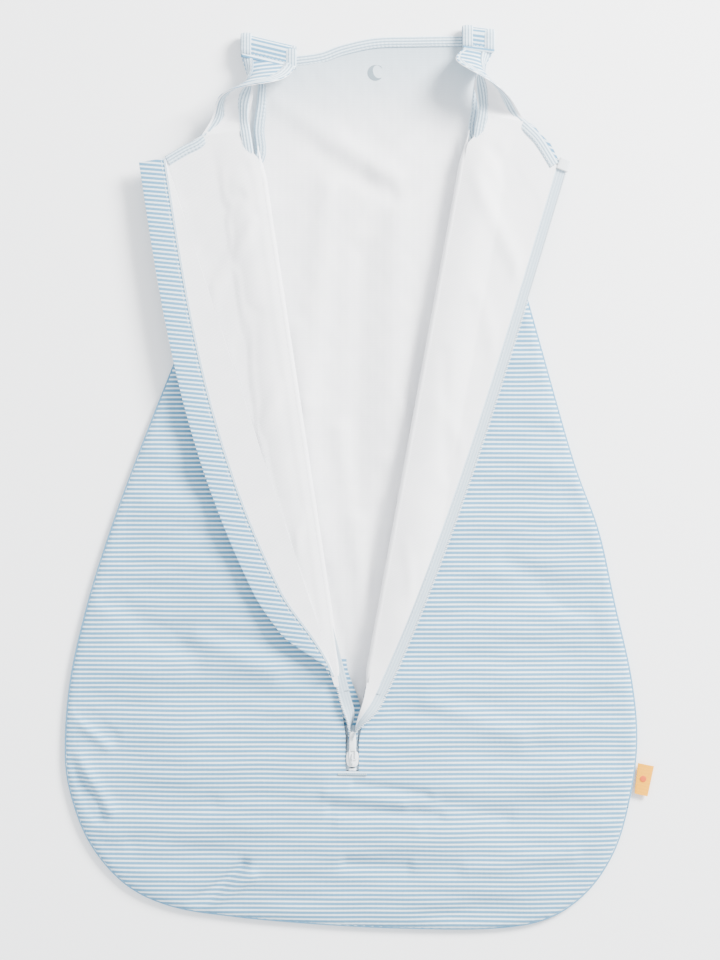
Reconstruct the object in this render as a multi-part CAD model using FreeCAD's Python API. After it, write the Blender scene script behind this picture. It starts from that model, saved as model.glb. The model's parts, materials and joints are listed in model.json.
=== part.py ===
import FreeCAD, Part
import math
import os

Vec = FreeCAD.Vector

# Driving dimensions, in mm and degrees. X runs across the bag, +Y to the neck, Z up.
# The bag lies on its back on z = 0, unzipped, with both front flaps folded outward.
ZIP_BOTTOM_Y = -223.5
FOLD_LEFT = 8.65
FOLD_RIGHT = 10.40
PIVOT_Z = 16.0
PIVOT_SLOPE = -0.010
FLAP_DROOP = 3.0
CLOSE_ANGLE = 177.0
ZIP_LENGTH = 488.0
OUTER_T = 1.0
LINING_T = 0.8
BINDING_W = 8.5
BINDING_T = 2.6
TAPE_T = 0.5
TAPE_W = 10.1
COIL_W = 2.0
COIL_T = 1.6
COIL_GAP = 1.2
GUARD_W = 20.0
GUARD_T = 1.2
GUARD_Z = 6.3
CREASE_GAP = 1.0
FOOT_START = 3.0
FOOT_FLAT = 22.0
FOOT_END = 61.0
FLAP_ZIP_LOW = 62.0
STOP_L = 2.5
NECK_S = 492.0
NECK_MIDDLE = (57.0, 498.0)
NECK_SLANT = 3.0
RIGHT_RAISE = 15.0
MIDDLE_RAISE_SHARE = 0.7
GARAGE_L = 7.0
GARAGE_T = 2.4
STRAP_START = 503.0
STRAP_REACH = {-1: (56.0, 40.9), 1: (49.2, 47.8)}
STRAP_FLAP_END = (4.0, 42.0)
STRAP_TOP_END = {-1: (-2.0, 38.0), 1: (-7.0, 15.0)}
STRAP_WAIST = 26.0
STRAP_ARCH = 12.5
ARM_D = 3.5
ARM_LENGTH = 20.0
SHOULDER_LINE = {-1: ((-86, 343), (-44, 333)), 1: ((110, 346), (86, 349))}
SHOULDER_R = 3.6
SHOULDER_FRONT = 12.0
EDGE_Z = 4.8
SEAM_T = 1.2
PANEL_GAP = 0.3
FRONT_TOP = 240.0
SEAM_TOP = 234.0
HEM_LOW = -349.0
HEM_CORNER = 205.0
DOME_BLEND = 60.0
FOLD_LENGTH = 540.0
GRID_STEP = 20
GRID_ROWS = 33
GRID_LOW_Y = -360
GRID_HALF_X = 240
WIDE = 600.0
SLIDER_V = (2.5, 15.0)
SLIDER_W = 9.0
CHANNEL_W = 7.6
CHANNEL_T = 2.6
SLOT_T = 2.2
PLATE_T = 1.1
BRIDGE_H = 2.3
PULLER_L = 21.0
LABEL = [(222.6, -219.5), (235.0, -222.0), (230.0, -245.5), (219.9, -243.2)]
LABEL_Z = 2.0
LABEL_T = 0.8

# Heights that follow from the ones above.
BACK_LINING_Z = OUTER_T + 0.4
LAYER_DROP = OUTER_T + 0.4
HALF_ANGLE = (FOLD_LEFT + FOLD_RIGHT) / 2
ZIP_TAN = math.tan(math.radians(HALF_ANGLE))
SKIN_Z = 1.0
TAPE_Z = SKIN_Z + OUTER_T + 0.2
COIL_Z = TAPE_Z + TAPE_T / 2 - COIL_T / 2
FLAP_LINING_Z = TAPE_Z + TAPE_T + 0.2
BINDING_Z = (SKIN_Z + FLAP_LINING_Z + LINING_T - BINDING_T) / 2

# Outer edge of the laid-out bag, from the left underarm round the hem to the right one.
LEFT_SIDE = [(-76, 253), (-121, 138), (-167, 21), (-190, -42), (-207, -97), (-220, -155)]
HEM = [(-224, -210), (-219, -246), (-204, -283), (-177, -314), (-142, -331), (-95, -339),
       (-30, -345), (40, -348.5), (110, -348.5), (152, -341), (182, -321), (203, -291),
       (215, -254)]
RIGHT_SIDE = [(222, -205), (218, -155), (205, -96), (192, -38), (171, 21), (135, 148), (99, 268)]
LEFT_ARMHOLE = [(-76, 255), (-77, 274), (-74.5, 296), (-74, 314), (-78, 328), (-84, 338)]
RIGHT_ARMHOLE = [(99, 271), (101, 290), (103, 312), (105, 328), (109, 340)]
BACK_NECK = [(-46, 331), (-25, 334), (-8, 340), (18, 345.5), (50, 346.5), (86, 347)]


def fold_angle(side):
    return FOLD_LEFT if side < 0 else FOLD_RIGHT


def curve(points):
    spline = Part.BSplineCurve()
    spline.interpolate([Vec(x, y, 0) for x, y in points])
    return spline.toShape()


def line(a, b):
    return Part.makeLine(Vec(a[0], a[1], 0), Vec(b[0], b[1], 0))


def plate(edges, bottom, thickness):
    """A flat piece standing on z = bottom, inside a closed ring of edges."""
    face = Part.Face(Part.Wire(Part.__sortEdges__(edges)))
    solid = face.extrude(Vec(0, 0, thickness))
    solid.translate(Vec(0, 0, bottom))
    return solid


def polygon(points, bottom, thickness):
    ring = [line(a, b) for a, b in zip(points, points[1:] + points[:1])]
    return plate(ring, bottom, thickness)


def slab(u, v, w):
    return Part.makeBox(u[1] - u[0], v[1] - v[0], w[1] - w[0], Vec(u[0], v[0], w[0]))


def band(outer, inner, bottom, thickness):
    """A flat strip between two curves that run the same way."""
    ends = [line(outer[0], inner[0]), line(outer[-1], inner[-1])]
    return plate([curve(outer), curve(inner)] + ends, bottom, thickness)


def shifted(points, dx, dy):
    return [(x + dx, y + dy) for x, y in points]


def ribbon(stations):
    """A bent strip: each station is a row of (near face, far face) point pairs."""
    wires = []
    for row in stations:
        near = [pair[0] for pair in row]
        far = [pair[1] for pair in row]
        wires.append(Part.makePolygon(near + far[::-1] + near[:1]))
    return Part.makeLoft(wires, True, False)


# Frames of the folding flaps and of the closed zip.
def placed(shape, origin, ex, ey):
    ez = ex.cross(ey)
    matrix = FreeCAD.Matrix(ex.x, ey.x, ez.x, origin.x, ex.y, ey.y, ez.y, origin.y,
                            ex.z, ey.z, ez.z, origin.z, 0, 0, 0, 1)
    moved = shape.copy()
    moved.Placement = FreeCAD.Placement(matrix).multiply(shape.Placement)
    return moved


def pivot_origin():
    return Vec(0, ZIP_BOTTOM_Y, PIVOT_Z)


def flap_axes(side):
    """Local x (outward on the right, inward on the left) and y (along the fold)."""
    angle = math.radians(fold_angle(side))
    along = Vec(side * math.sin(angle), math.cos(angle), PIVOT_SLOPE).normalize()
    across = Vec(math.cos(angle), -side * math.sin(angle), 0)
    droop = FreeCAD.Rotation(along, side * FLAP_DROOP)
    return droop.multVec(across), along


def on_flap(shape, side):
    ex, ey = flap_axes(side)
    return placed(shape, pivot_origin(), ex, ey)


def flap_point(side, d, s, z):
    """World place of a flap point: d out from the fold, s along it, z above it."""
    ex, ey = flap_axes(side)
    return pivot_origin() + ex * (side * d) + ey * s + ex.cross(ey) * z


def zip_axes():
    """Across and along the zip when both flaps are turned to their closed place."""
    lean = math.radians((FOLD_RIGHT - FOLD_LEFT) / 2)
    ex, ey = flap_axes(-1)
    inward = FreeCAD.Rotation(ey, CLOSE_ANGLE).multVec(ex * -1)
    half = math.radians(HALF_ANGLE)
    along = (inward * math.sin(half) + ey * math.cos(half)).normalize()
    return Vec(math.cos(lean), -math.sin(lean), 0), along


def on_zip(shape):
    ex, ey = zip_axes()
    return placed(shape, pivot_origin(), ex, ey)


def zip_d(s, inset):
    """Distance from the fold to a line that lies inset from the closed zip's centre."""
    return s * ZIP_TAN - inset / math.cos(math.radians(HALF_ANGLE))


# Root body: the back, the front below the folds, the seams and the shoulders.
def outline_face():
    edges = [curve(LEFT_SIDE + HEM + RIGHT_SIDE), line(RIGHT_SIDE[-1], LEFT_SIDE[0])]
    return Part.Face(Part.Wire(edges))


def inset_rim(amount):
    """The rim's points, moved inward at right angles to their neighbours' chord."""
    points = LEFT_SIDE + HEM + RIGHT_SIDE
    moved = []
    for i, (x, y) in enumerate(points):
        before = points[max(0, i - 1)]
        after = points[min(len(points) - 1, i + 1)]
        dx, dy = after[0] - before[0], after[1] - before[1]
        length = math.hypot(dx, dy)
        moved.append((x - dy / length * amount, y + dx / length * amount))
    return moved


def inset_prism(amount, height):
    rim = inset_rim(amount)
    return plate([curve(rim), line(rim[-1], rim[0])], 0, height)


def back_sheet(bottom, thickness):
    """The back panel: the pear-shaped body and, between the bindings, its yoke."""
    rim = inset_rim(SEAM_T + PANEL_GAP)
    left = shifted(LEFT_ARMHOLE, BINDING_W, 0)
    right = shifted(RIGHT_ARMHOLE, -BINDING_W, 0)
    neck = shifted(BACK_NECK, 0, -BINDING_W)
    ring = [curve(rim), line(rim[-1], right[0]), curve(right), line(right[-1], neck[-1]),
            curve(neck), line(neck[0], left[-1]), curve(left), line(left[0], rim[0])]
    return plate(ring, bottom, thickness)


def side_x(side, y):
    """Where the side seam lies at this height of the bag."""
    points = LEFT_SIDE + HEM[:1] if side < 0 else HEM[-1:] + RIGHT_SIDE
    ordered = sorted(points, key=lambda p: p[1])
    for (x0, y0), (x1, y1) in zip(ordered, ordered[1:]):
        if y0 <= y <= y1:
            return x0 + (x1 - x0) * (y - y0) / (y1 - y0)
    return ordered[0][0] if y < ordered[0][1] else ordered[-1][0]


def crease_z(y):
    return PIVOT_Z - SKIN_Z + PIVOT_SLOPE * max(0.0, y - ZIP_BOTTOM_Y)


def front_height(x, y, rim):
    """Top of the front's outer cloth: highest along the folds, lowest at the seams."""
    side = -1 if x < 0 else 1
    rise = max(0.0, y - ZIP_BOTTOM_Y)
    fold_x = side * rise * math.tan(math.radians(fold_angle(side)))
    across = max(0.0, side * (x - fold_x))
    from_fold = math.hypot(across, min(0.0, y - ZIP_BOTTOM_Y))
    from_rim = rim.distToShape(Part.Vertex(x, y, 0))[0]
    low = y < HEM[0][1]
    beyond = side * (x - side_x(side, y)) > 0
    outside = y < HEM_LOW or (beyond and not low) or (low and abs(x) > HEM_CORNER)
    share = 0.0 if outside else from_rim / (from_rim + from_fold + 0.01)
    rounding = min(1.0, max(0.0, (ZIP_BOTTOM_Y + DOME_BLEND - y) / DOME_BLEND))
    share += rounding * (math.sin(share * math.pi / 2) - share)
    return EDGE_Z + (crease_z(y) - EDGE_Z) * share


def front_surface():
    """The whole front as one smooth surface; its layers are cut from copies of it."""
    rim = curve(LEFT_SIDE + HEM + RIGHT_SIDE)
    rows = []
    for j in range(GRID_ROWS):
        y = GRID_LOW_Y + GRID_STEP * j
        columns = range(-GRID_HALF_X, GRID_HALF_X + 1, GRID_STEP)
        rows.append([Vec(x, y, front_height(x, y, rim)) for x in columns])
    surface = Part.BSplineSurface()
    surface.interpolate(rows)
    return surface.toShape()


def opening(margin):
    """Plan of the V-shaped front opening: the zip notch, then the two fold lines."""
    half = TAPE_W + margin
    sides = []
    for side in (-1, 1):
        tan = math.tan(math.radians(fold_angle(side)))
        turn = (half + CREASE_GAP) / ZIP_TAN
        foot = (side * half, ZIP_BOTTOM_Y - 1)
        bend = (side * (turn * tan + CREASE_GAP + margin), ZIP_BOTTOM_Y + turn)
        top = (side * (FOLD_LENGTH * tan + CREASE_GAP + margin), ZIP_BOTTOM_Y + FOLD_LENGTH)
        sides.append([foot, bend, top])
    return polygon(sides[0] + sides[1][::-1], -WIDE / 2, WIDE)


def front_sheet(surface, drop, thickness, margin):
    sheet = surface.extrude(Vec(0, 0, thickness))
    sheet.translate(Vec(0, 0, -drop - thickness))
    trim = inset_prism(SEAM_T + PANEL_GAP, WIDE)
    below_underarm = slab((-WIDE, WIDE), (-WIDE, FRONT_TOP), (-WIDE, WIDE))
    return sheet.common(trim).cut(opening(margin)).common(below_underarm)


def seam_part(name):
    """One of the three seams: a narrow wall along the rim, joining back and front."""
    ring = outline_face().extrude(Vec(0, 0, EDGE_Z))
    hollow = inset_prism(SEAM_T, EDGE_Z)
    low = HEM[1][1]
    boxes = {
        "hem": slab((-WIDE, WIDE), (-WIDE, low), (0, EDGE_Z)),
        "left": slab((-WIDE, 0), (low, SEAM_TOP), (0, EDGE_Z)),
        "right": slab((0, WIDE), (low, SEAM_TOP), (0, EDGE_Z)),
    }
    return ring.cut(hollow).common(boxes[name])


def shoulder(side):
    """The back shoulder rolled over the top to the front, ending at the shoulder seam."""
    outer, inner = SHOULDER_LINE[side]
    thickness = OUTER_T + LINING_T
    stations = []
    for step in range(8):
        turn = math.radians(min(90, -90 + 30 * step))
        normal = Vec(0, math.cos(turn), math.sin(turn))
        back = SHOULDER_FRONT if step == 7 else 0
        row = []
        for k in range(3):
            x = outer[0] + (inner[0] - outer[0]) * k / 2
            y = outer[1] + (inner[1] - outer[1]) * k / 2 - back
            point = Vec(x, y, SHOULDER_R + thickness) + normal * SHOULDER_R
            row.append((point, point + normal * thickness))
        stations.append(row)
    return ribbon(stations)


def shoulder_seam(side):
    """The raised ridge of the seam where the rolled shoulder meets the front strap."""
    outer, inner = SHOULDER_LINE[side]
    top = 2 * SHOULDER_R + 2 * (OUTER_T + LINING_T)
    a = Vec(outer[0], outer[1] - SHOULDER_FRONT, top - 0.4)
    b = Vec(inner[0], inner[1] - SHOULDER_FRONT, top - 0.4)
    ridge = Part.makeCylinder(0.9, (b - a).Length, a, b - a)
    return ridge.cut(slab((-WIDE, WIDE), (0, WIDE), (0, top)))


def twisted(side, s, turn, inward, height):
    """A point of the closed front, turned about the fold line toward the open place."""
    out = -inward * math.cos(turn) + height * math.sin(turn)
    up = inward * math.sin(turn) + height * math.cos(turn)
    return flap_point(side, out, s, up)


def ease(t):
    t = min(1.0, max(0.0, t))
    return t * t * (3 - 2 * t)


def strap(side):
    """The front strap, twisting from the flap (turned over) up to the shoulder seam."""
    start = strap_start(side)
    top = STRAP_TOP_END[side]
    arm_reach, neck_reach = STRAP_REACH[side]
    stations = []
    for step in range(9):
        share = step / 8
        turn = math.pi * (1 - ease(share))
        swell = math.sin(math.pi * share)
        arm, neck = [low + (high - low) * share for low, high in zip(STRAP_FLAP_END, top)]
        neck -= (neck - arm - STRAP_WAIST) * swell
        row = []
        for k in range(5):
            across = k / 4
            s = start + share * (arm_reach + (neck_reach - arm_reach) * across)
            inward = arm + (neck - arm) * across
            height = -SKIN_Z + STRAP_ARCH * swell * math.sin(math.pi * across)
            outer = twisted(side, s, turn, inward, height)
            inner = twisted(side, s, turn, inward, height - OUTER_T - LINING_T)
            row.append((inner, outer))
        stations.append(row)
    return ribbon(stations)


def zip_foot(side):
    """Lowest stretch of one zip half, turning over from the zip's end to the open flap."""
    tape = []
    coil = []
    for step in range(11):
        s = FOOT_START + (FOOT_END - FOOT_START) * step / 10
        turn = math.pi * ease((s - FOOT_FLAT) / (FOOT_END - FOOT_FLAT))
        edges = [(TAPE_W, COIL_GAP + COIL_W, tape, TAPE_T),
                 (COIL_GAP + COIL_W, COIL_GAP, coil, COIL_T)]
        middle = -TAPE_Z - TAPE_T / 2
        for far, near, stations, thickness in edges:
            row = []
            for inset in (far, near):
                inward = zip_d(s, inset)
                low = twisted(side, s, turn, inward, middle - thickness / 2)
                high = twisted(side, s, turn, inward, middle + thickness / 2)
                row.append((low, high))
            stations.append(row)
    return ribbon(tape), ribbon(coil)


# Flaps: flat patterns in the frame of each fold, then turned into place.
def strap_start(side):
    return STRAP_START if side < 0 else STRAP_START + RIGHT_RAISE


def neck_edge(side):
    start = strap_start(side)
    middle_s = NECK_MIDDLE[1] + (start - STRAP_START) * MIDDLE_RAISE_SHARE
    zip_end = (zip_d(NECK_S, TAPE_W), NECK_S)
    return [zip_end, (NECK_MIDDLE[0], middle_s), (STRAP_FLAP_END[1], start)]


def armhole_edge(side):
    top = strap_start(side)
    return [(ARM_D, top - ARM_LENGTH), (ARM_D, top)]


def flap_shape(side, points_d_s, bottom, thickness):
    local = [(side * d, s) for d, s in points_d_s]
    return on_flap(polygon(local, bottom, thickness), side)


def flap_sheet(side, bottom, thickness):
    neck = [(d - NECK_SLANT, s - BINDING_W) for d, s in neck_edge(side)]
    arm = armhole_edge(side)
    tip = (TAPE_W + CREASE_GAP + PANEL_GAP) / ZIP_TAN
    inner_d = ARM_D + BINDING_W
    zip_top = (zip_d(neck[0][1], TAPE_W), neck[0][1])
    points = [(CREASE_GAP, tip), zip_top] + neck[1:]
    points += [(inner_d, arm[1][1]), (inner_d, arm[0][1]), (ARM_D, arm[0][1]),
               (CREASE_GAP, arm[0][1] - BINDING_W)]
    return flap_shape(side, points, bottom, thickness)


def flap_neck_binding(side):
    edge = neck_edge(side)
    inner = [(d - NECK_SLANT, s - BINDING_W) for d, s in edge]
    inner[0] = (zip_d(inner[0][1], TAPE_W), inner[0][1])
    return flap_shape(side, edge + inner[::-1], BINDING_Z, BINDING_T)


def flap_arm_binding(side):
    low, high = armhole_edge(side)
    points = [low, (low[0] + BINDING_W, low[1]), (high[0] + BINDING_W, high[1]), high]
    return flap_shape(side, points, BINDING_Z, BINDING_T)


def zip_strip(side, low, high, outer, inner, bottom, thickness):
    """A strip that runs beside the closed zip's centre line, between two insets."""
    points = [(zip_d(low, outer), low), (zip_d(low, inner), low), (zip_d(high, inner), high),
              (zip_d(high, outer), high)]
    return flap_shape(side, points, bottom, thickness)


def zip_tape(side):
    return zip_strip(side, FLAP_ZIP_LOW, ZIP_LENGTH, TAPE_W, COIL_GAP + COIL_W, TAPE_Z, TAPE_T)


def zip_coil(side):
    return zip_strip(side, FLAP_ZIP_LOW, ZIP_LENGTH - STOP_L, COIL_GAP + COIL_W, COIL_GAP,
                     COIL_Z, COIL_T)


def top_stop(side):
    return zip_strip(side, ZIP_LENGTH - STOP_L, ZIP_LENGTH, COIL_GAP + COIL_W, COIL_GAP,
                     COIL_Z, COIL_T)


def zip_garage():
    """Folded fabric tab that finishes the top end of the right zip half."""
    low = ZIP_LENGTH + PANEL_GAP
    bottom = TAPE_Z + (TAPE_T - GARAGE_T) / 2
    return zip_strip(1, low, low + GARAGE_L, TAPE_W - PANEL_GAP, COIL_GAP, bottom, GARAGE_T)


def zip_guard():
    """Striped strip of doubled cloth over the left zip half; it lifts about its stitching."""
    low = FLAP_ZIP_LOW + 8
    return zip_strip(-1, low, NECK_S - 2, TAPE_W, TAPE_W - GUARD_W, GUARD_Z, GUARD_T)


# Slider, puller and the closed end of the zip, in the frame of the closed zip.
def slider():
    low, high = SLIDER_V
    half = SLIDER_W / 2
    channel = (-TAPE_Z - TAPE_T / 2 - CHANNEL_T / 2, -TAPE_Z - TAPE_T / 2 + CHANNEL_T / 2)
    slot = (-TAPE_Z - TAPE_T / 2 - SLOT_T / 2, -TAPE_Z - TAPE_T / 2 + SLOT_T / 2)
    block = slab((-half, half), SLIDER_V, (channel[0] - PLATE_T, channel[1] + PLATE_T))
    block = block.cut(slab((-CHANNEL_W / 2, CHANNEL_W / 2), (low - 1, high + 1), channel))
    block = block.cut(slab((-half - 1, half + 1), (low - 1, high + 1), slot))
    post = slab((-0.5, 0.5), (high - 3.5, high - 0.5), channel)
    top = channel[1] + PLATE_T
    bridge = slab((-1, 1), (low + 2, high - 3), (top, top + BRIDGE_H))
    eye = slab((-2, 2), (low + 3, high - 4), (top, top + BRIDGE_H - 0.9))
    solid = block.fuse(post).fuse(bridge.cut(eye)).removeSplitter()
    upright = [e for e in solid.Edges if e.Length > PLATE_T * 0.9 and corner_edge(e, half)]
    return on_zip(solid.makeFillet(1.2, upright))


def corner_edge(edge, half):
    """True for the short vertical edges at the four outside corners of the slider."""
    a, b = edge.Vertexes[0].Point, edge.Vertexes[-1].Point
    vertical = abs(a.x - b.x) < 0.01 and abs(a.y - b.y) < 0.01
    at_end = min(abs(a.y - SLIDER_V[0]), abs(a.y - SLIDER_V[1])) < 0.01
    return vertical and at_end and abs(abs(a.x) - half) < 0.01


def puller_pivot():
    """Centre of the puller's bar, in the zip frame."""
    top = -TAPE_Z - TAPE_T / 2 + CHANNEL_T / 2 + PLATE_T
    return Vec(0, (SLIDER_V[0] + SLIDER_V[1]) / 2 - 0.3, top + 0.75)


def puller():
    pivot = puller_pivot()
    radius = 0.45
    bar = Part.makeCylinder(radius, 5.2, pivot - Vec(2.6, 0, 0), Vec(1, 0, 0))
    thick = (pivot.z - 0.45, pivot.z + 0.45)
    solid = bar
    for side in (-1, 1):
        arm_u = sorted((side * 1.6, side * 2.6))
        solid = solid.fuse(slab(arm_u, (pivot.y, pivot.y + 7), thick))
    blade = slab((-2.6, 2.6), (pivot.y + 6, pivot.y + PULLER_L), thick)
    tip = [e for e in blade.Edges if e.Length < 1 and e.Vertexes[0].Y > pivot.y + PULLER_L - 0.1]
    blade = blade.makeFillet(2.0, tip)
    return on_zip(solid.fuse(blade).removeSplitter())


def bottom_stop():
    middle = -TAPE_Z - TAPE_T / 2
    return on_zip(slab((-3, 3), (-0.8, 1.2), (middle - 1.1, middle + 1.1)))


def bar_tack():
    """Dense stitching across the tape ends, on top of the outer cloth."""
    top = -SKIN_Z + 0.25
    return on_zip(slab((-TAPE_W - 1, TAPE_W + 1), (-4.2, -2.4), (top, top + 0.5)))


def side_label():
    """Folded woven tag standing out from the right side seam."""
    return polygon(LABEL, LABEL_Z, LABEL_T)


def build():
    surface = front_surface()
    nodes = {
        "back_outer": back_sheet(0, OUTER_T),
        "back_lining": back_sheet(BACK_LINING_Z, LINING_T),
        "front_outer": front_sheet(surface, 0, OUTER_T, 0.4),
        "front_lining": front_sheet(surface, LAYER_DROP, LINING_T, 0.4),
        "left_side_seam": seam_part("left"),
        "right_side_seam": seam_part("right"),
        "hem_seam": seam_part("hem"),
        "back_neck_binding": band(BACK_NECK, shifted(BACK_NECK, 0, -BINDING_W), 0, BINDING_T),
        "left_back_armhole_binding": band(
            LEFT_ARMHOLE, shifted(LEFT_ARMHOLE, BINDING_W, 0), 0, BINDING_T),
        "right_back_armhole_binding": band(
            RIGHT_ARMHOLE, shifted(RIGHT_ARMHOLE, -BINDING_W, 0), 0, BINDING_T),
        "bottom_stop": bottom_stop(),
        "bar_tack": bar_tack(),
        "zip_garage": zip_garage(),
        "zip_guard": zip_guard(),
        "slider": slider(),
        "puller": puller(),
        "side_label": side_label(),
    }
    for side, name in ((-1, "left"), (1, "right")):
        foot_tape, foot_coil = zip_foot(side)
        nodes[name + "_shoulder"] = shoulder(side)
        nodes[name + "_shoulder_seam"] = shoulder_seam(side)
        nodes[name + "_strap"] = strap(side)
        nodes[name + "_foot_tape"] = foot_tape
        nodes[name + "_foot_coil"] = foot_coil
        nodes[name + "_flap_outer"] = flap_sheet(side, SKIN_Z, OUTER_T)
        nodes[name + "_flap_lining"] = flap_sheet(side, FLAP_LINING_Z, LINING_T)
        nodes[name + "_neck_binding"] = flap_neck_binding(side)
        nodes[name + "_front_armhole_binding"] = flap_arm_binding(side)
        nodes[name + "_zip_tape"] = zip_tape(side)
        nodes[name + "_zip_coil"] = zip_coil(side)
        nodes[name + "_top_stop"] = top_stop(side)
    return nodes


os.makedirs("parts", exist_ok=True)
for node, shape in build().items():
    shape.exportStep("parts/" + node + ".step")
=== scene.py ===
import json
import math

import bpy
import numpy as np
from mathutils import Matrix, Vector
from mathutils.bvhtree import BVHTree


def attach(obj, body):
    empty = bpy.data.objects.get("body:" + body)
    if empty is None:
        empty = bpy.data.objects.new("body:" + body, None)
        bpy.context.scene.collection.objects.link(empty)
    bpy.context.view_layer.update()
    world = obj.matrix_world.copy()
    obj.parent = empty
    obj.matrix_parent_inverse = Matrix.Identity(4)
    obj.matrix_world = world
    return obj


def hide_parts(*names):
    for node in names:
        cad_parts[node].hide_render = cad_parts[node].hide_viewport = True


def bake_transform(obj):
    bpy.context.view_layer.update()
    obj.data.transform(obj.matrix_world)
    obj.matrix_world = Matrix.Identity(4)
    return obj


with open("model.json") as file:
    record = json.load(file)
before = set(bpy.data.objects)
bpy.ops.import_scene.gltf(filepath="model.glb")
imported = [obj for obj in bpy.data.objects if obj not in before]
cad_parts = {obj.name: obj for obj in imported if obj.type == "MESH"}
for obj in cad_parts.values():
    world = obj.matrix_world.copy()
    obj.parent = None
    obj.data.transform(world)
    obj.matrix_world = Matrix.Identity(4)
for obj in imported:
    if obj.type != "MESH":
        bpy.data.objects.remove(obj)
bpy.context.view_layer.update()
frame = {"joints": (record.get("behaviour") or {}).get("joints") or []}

MM = 0.001

# Sizes in mm, the same as the CAD frame's.
DROOP = 3.0
CLOSE = 177.0
TAPE_W = 10.1
COIL_GAP = 1.2
COIL_W = 2.0
BINDING_W = 8.5
TWIN_NEEDLE = (0.62, 0.84)
STRIPE = 3.5
FOOT_S = (3.0, 60.0)
SIDE_NAME = {-1: "left", 1: "right"}
SIDE_TITLE = {-1: "Left", 1: "Right"}
JOINTS = {j["name"]: j for j in frame["joints"]}


# ---------------------------------------------------------------- geometry of the folds
def ease(t):
    t = np.clip(t, 0.0, 1.0)
    return t * t * (3 - 2 * t)


def rotate(v, axis, angle):
    """v turned about a unit axis by angle in radians; angle may be an array."""
    v = np.asarray(v, float)
    c = np.cos(angle)[..., None] if np.ndim(angle) else np.cos(angle)
    s = np.sin(angle)[..., None] if np.ndim(angle) else np.sin(angle)
    along = np.sum(v * axis, -1)[..., None] * axis
    return v * c + np.cross(axis, v) * s + along * (1 - c)


def fold_frame(side):
    """Origin, across, along and up of one flap at rest, in mm."""
    joint = JOINTS[SIDE_NAME[side] + "_flap_fold"]
    along = np.array(joint["axis"], float) * -side
    along /= np.linalg.norm(along)
    flat = np.array([along[0], along[1]]) / math.hypot(along[0], along[1])
    across = rotate(np.array([flat[1], -flat[0], 0.0]), along, math.radians(side * DROOP))
    return np.array(joint["pos_m"]) / MM, across, along, np.cross(across, along)


FOLDS = {side: fold_frame(side) for side in (-1, 1)}
FOLD_ANGLE = {side: math.atan2(abs(FOLDS[side][2][0]), FOLDS[side][2][1]) for side in (-1, 1)}
HALF = (FOLD_ANGLE[-1] + FOLD_ANGLE[1]) / 2


def flap_point(side, out, s, up):
    """World points (mm) from distance out of the fold, along it, and above it."""
    origin, across, along, normal = FOLDS[side]
    out, s, up = np.broadcast_arrays(np.asarray(out, float), s, up)
    return (origin + across * (side * out)[..., None] + along * s[..., None]
            + normal * up[..., None])


def turned(side, inward, s, height, w):
    """A point given as it lies when the flap is closed, turned open by share w."""
    turn = np.radians(180 - CLOSE + CLOSE * np.asarray(w, float))
    out = -inward * np.cos(turn) + height * np.sin(turn)
    up = inward * np.sin(turn) + height * np.cos(turn)
    return flap_point(side, out, s, up)


def zip_d(s, inset):
    return s * math.tan(HALF) - inset / math.cos(HALF)


def strokes(x, y, lines):
    """Soft ridges (+) and valleys (-): (x0, y0, x1, y1, half width, height) each, in mm."""
    total = np.zeros(np.broadcast(x, y).shape)
    for x0, y0, x1, y1, width, height in lines:
        dx, dy = x1 - x0, y1 - y0
        length = math.hypot(dx, dy)
        t = ((x - x0) * dx + (y - y0) * dy) / length ** 2
        near = np.clip(t, 0, 1)
        dist = np.hypot(x - x0 - near * dx, y - y0 - near * dy)
        end = np.clip(np.minimum(t, 1 - t) * length / (2.5 * width) + 1, 0, 1)
        total += height * np.exp(-(dist / width) ** 2) * ease(end)
    return total


def ripple(x, y, size, seed, count=7):
    """Smooth irregular waves of about the given size in mm, from -1 to 1."""
    source = np.random.default_rng(seed)
    total = np.zeros(np.broadcast(x, y).shape)
    for _ in range(count):
        angle = source.uniform(0, math.pi)
        wave = 2 * math.pi / (size * source.uniform(0.7, 1.6))
        phase = source.uniform(0, 2 * math.pi)
        total += np.sin(wave * (x * math.cos(angle) + y * math.sin(angle)) + phase)
    return total / count


# ---------------------------------------------------------------- meshes
def add_object(name, verts_mm, faces, uvs, material):
    mesh = bpy.data.meshes.new(name)
    mesh.from_pydata((np.asarray(verts_mm, float) * MM).tolist(), [], faces)
    layer = mesh.uv_layers.new(name="Cloth")
    loops = np.empty(len(mesh.loops), np.int32)
    mesh.loops.foreach_get("vertex_index", loops)
    layer.data.foreach_set("uv", np.asarray(uvs, np.float32)[loops].ravel())
    mesh.materials.append(material)
    mesh.shade_smooth()
    obj = bpy.data.objects.new(name, mesh)
    bpy.context.scene.collection.objects.link(obj)
    return obj


def points_of(*parts):
    """Points from their coordinates, each a number or an array."""
    return np.stack(np.broadcast_arrays(*parts), -1)


def as_column(low, high, count):
    return np.linspace(low, high, count)[:, None]


def as_row(low, high, count):
    return np.linspace(low, high, count)[None, :]


def lowered(points, depth):
    return points - np.array([0, 0, depth])


def path_length(points):
    steps = np.linalg.norm(np.diff(points, axis=0), axis=1)
    return np.concatenate([[0], np.cumsum(steps)])


def resample(points, count):
    points = np.asarray(points, float)
    length = path_length(points)
    target = np.linspace(0, length[-1], count)
    return np.stack([np.interp(target, length, points[:, k]) for k in range(points.shape[1])], 1)


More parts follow.
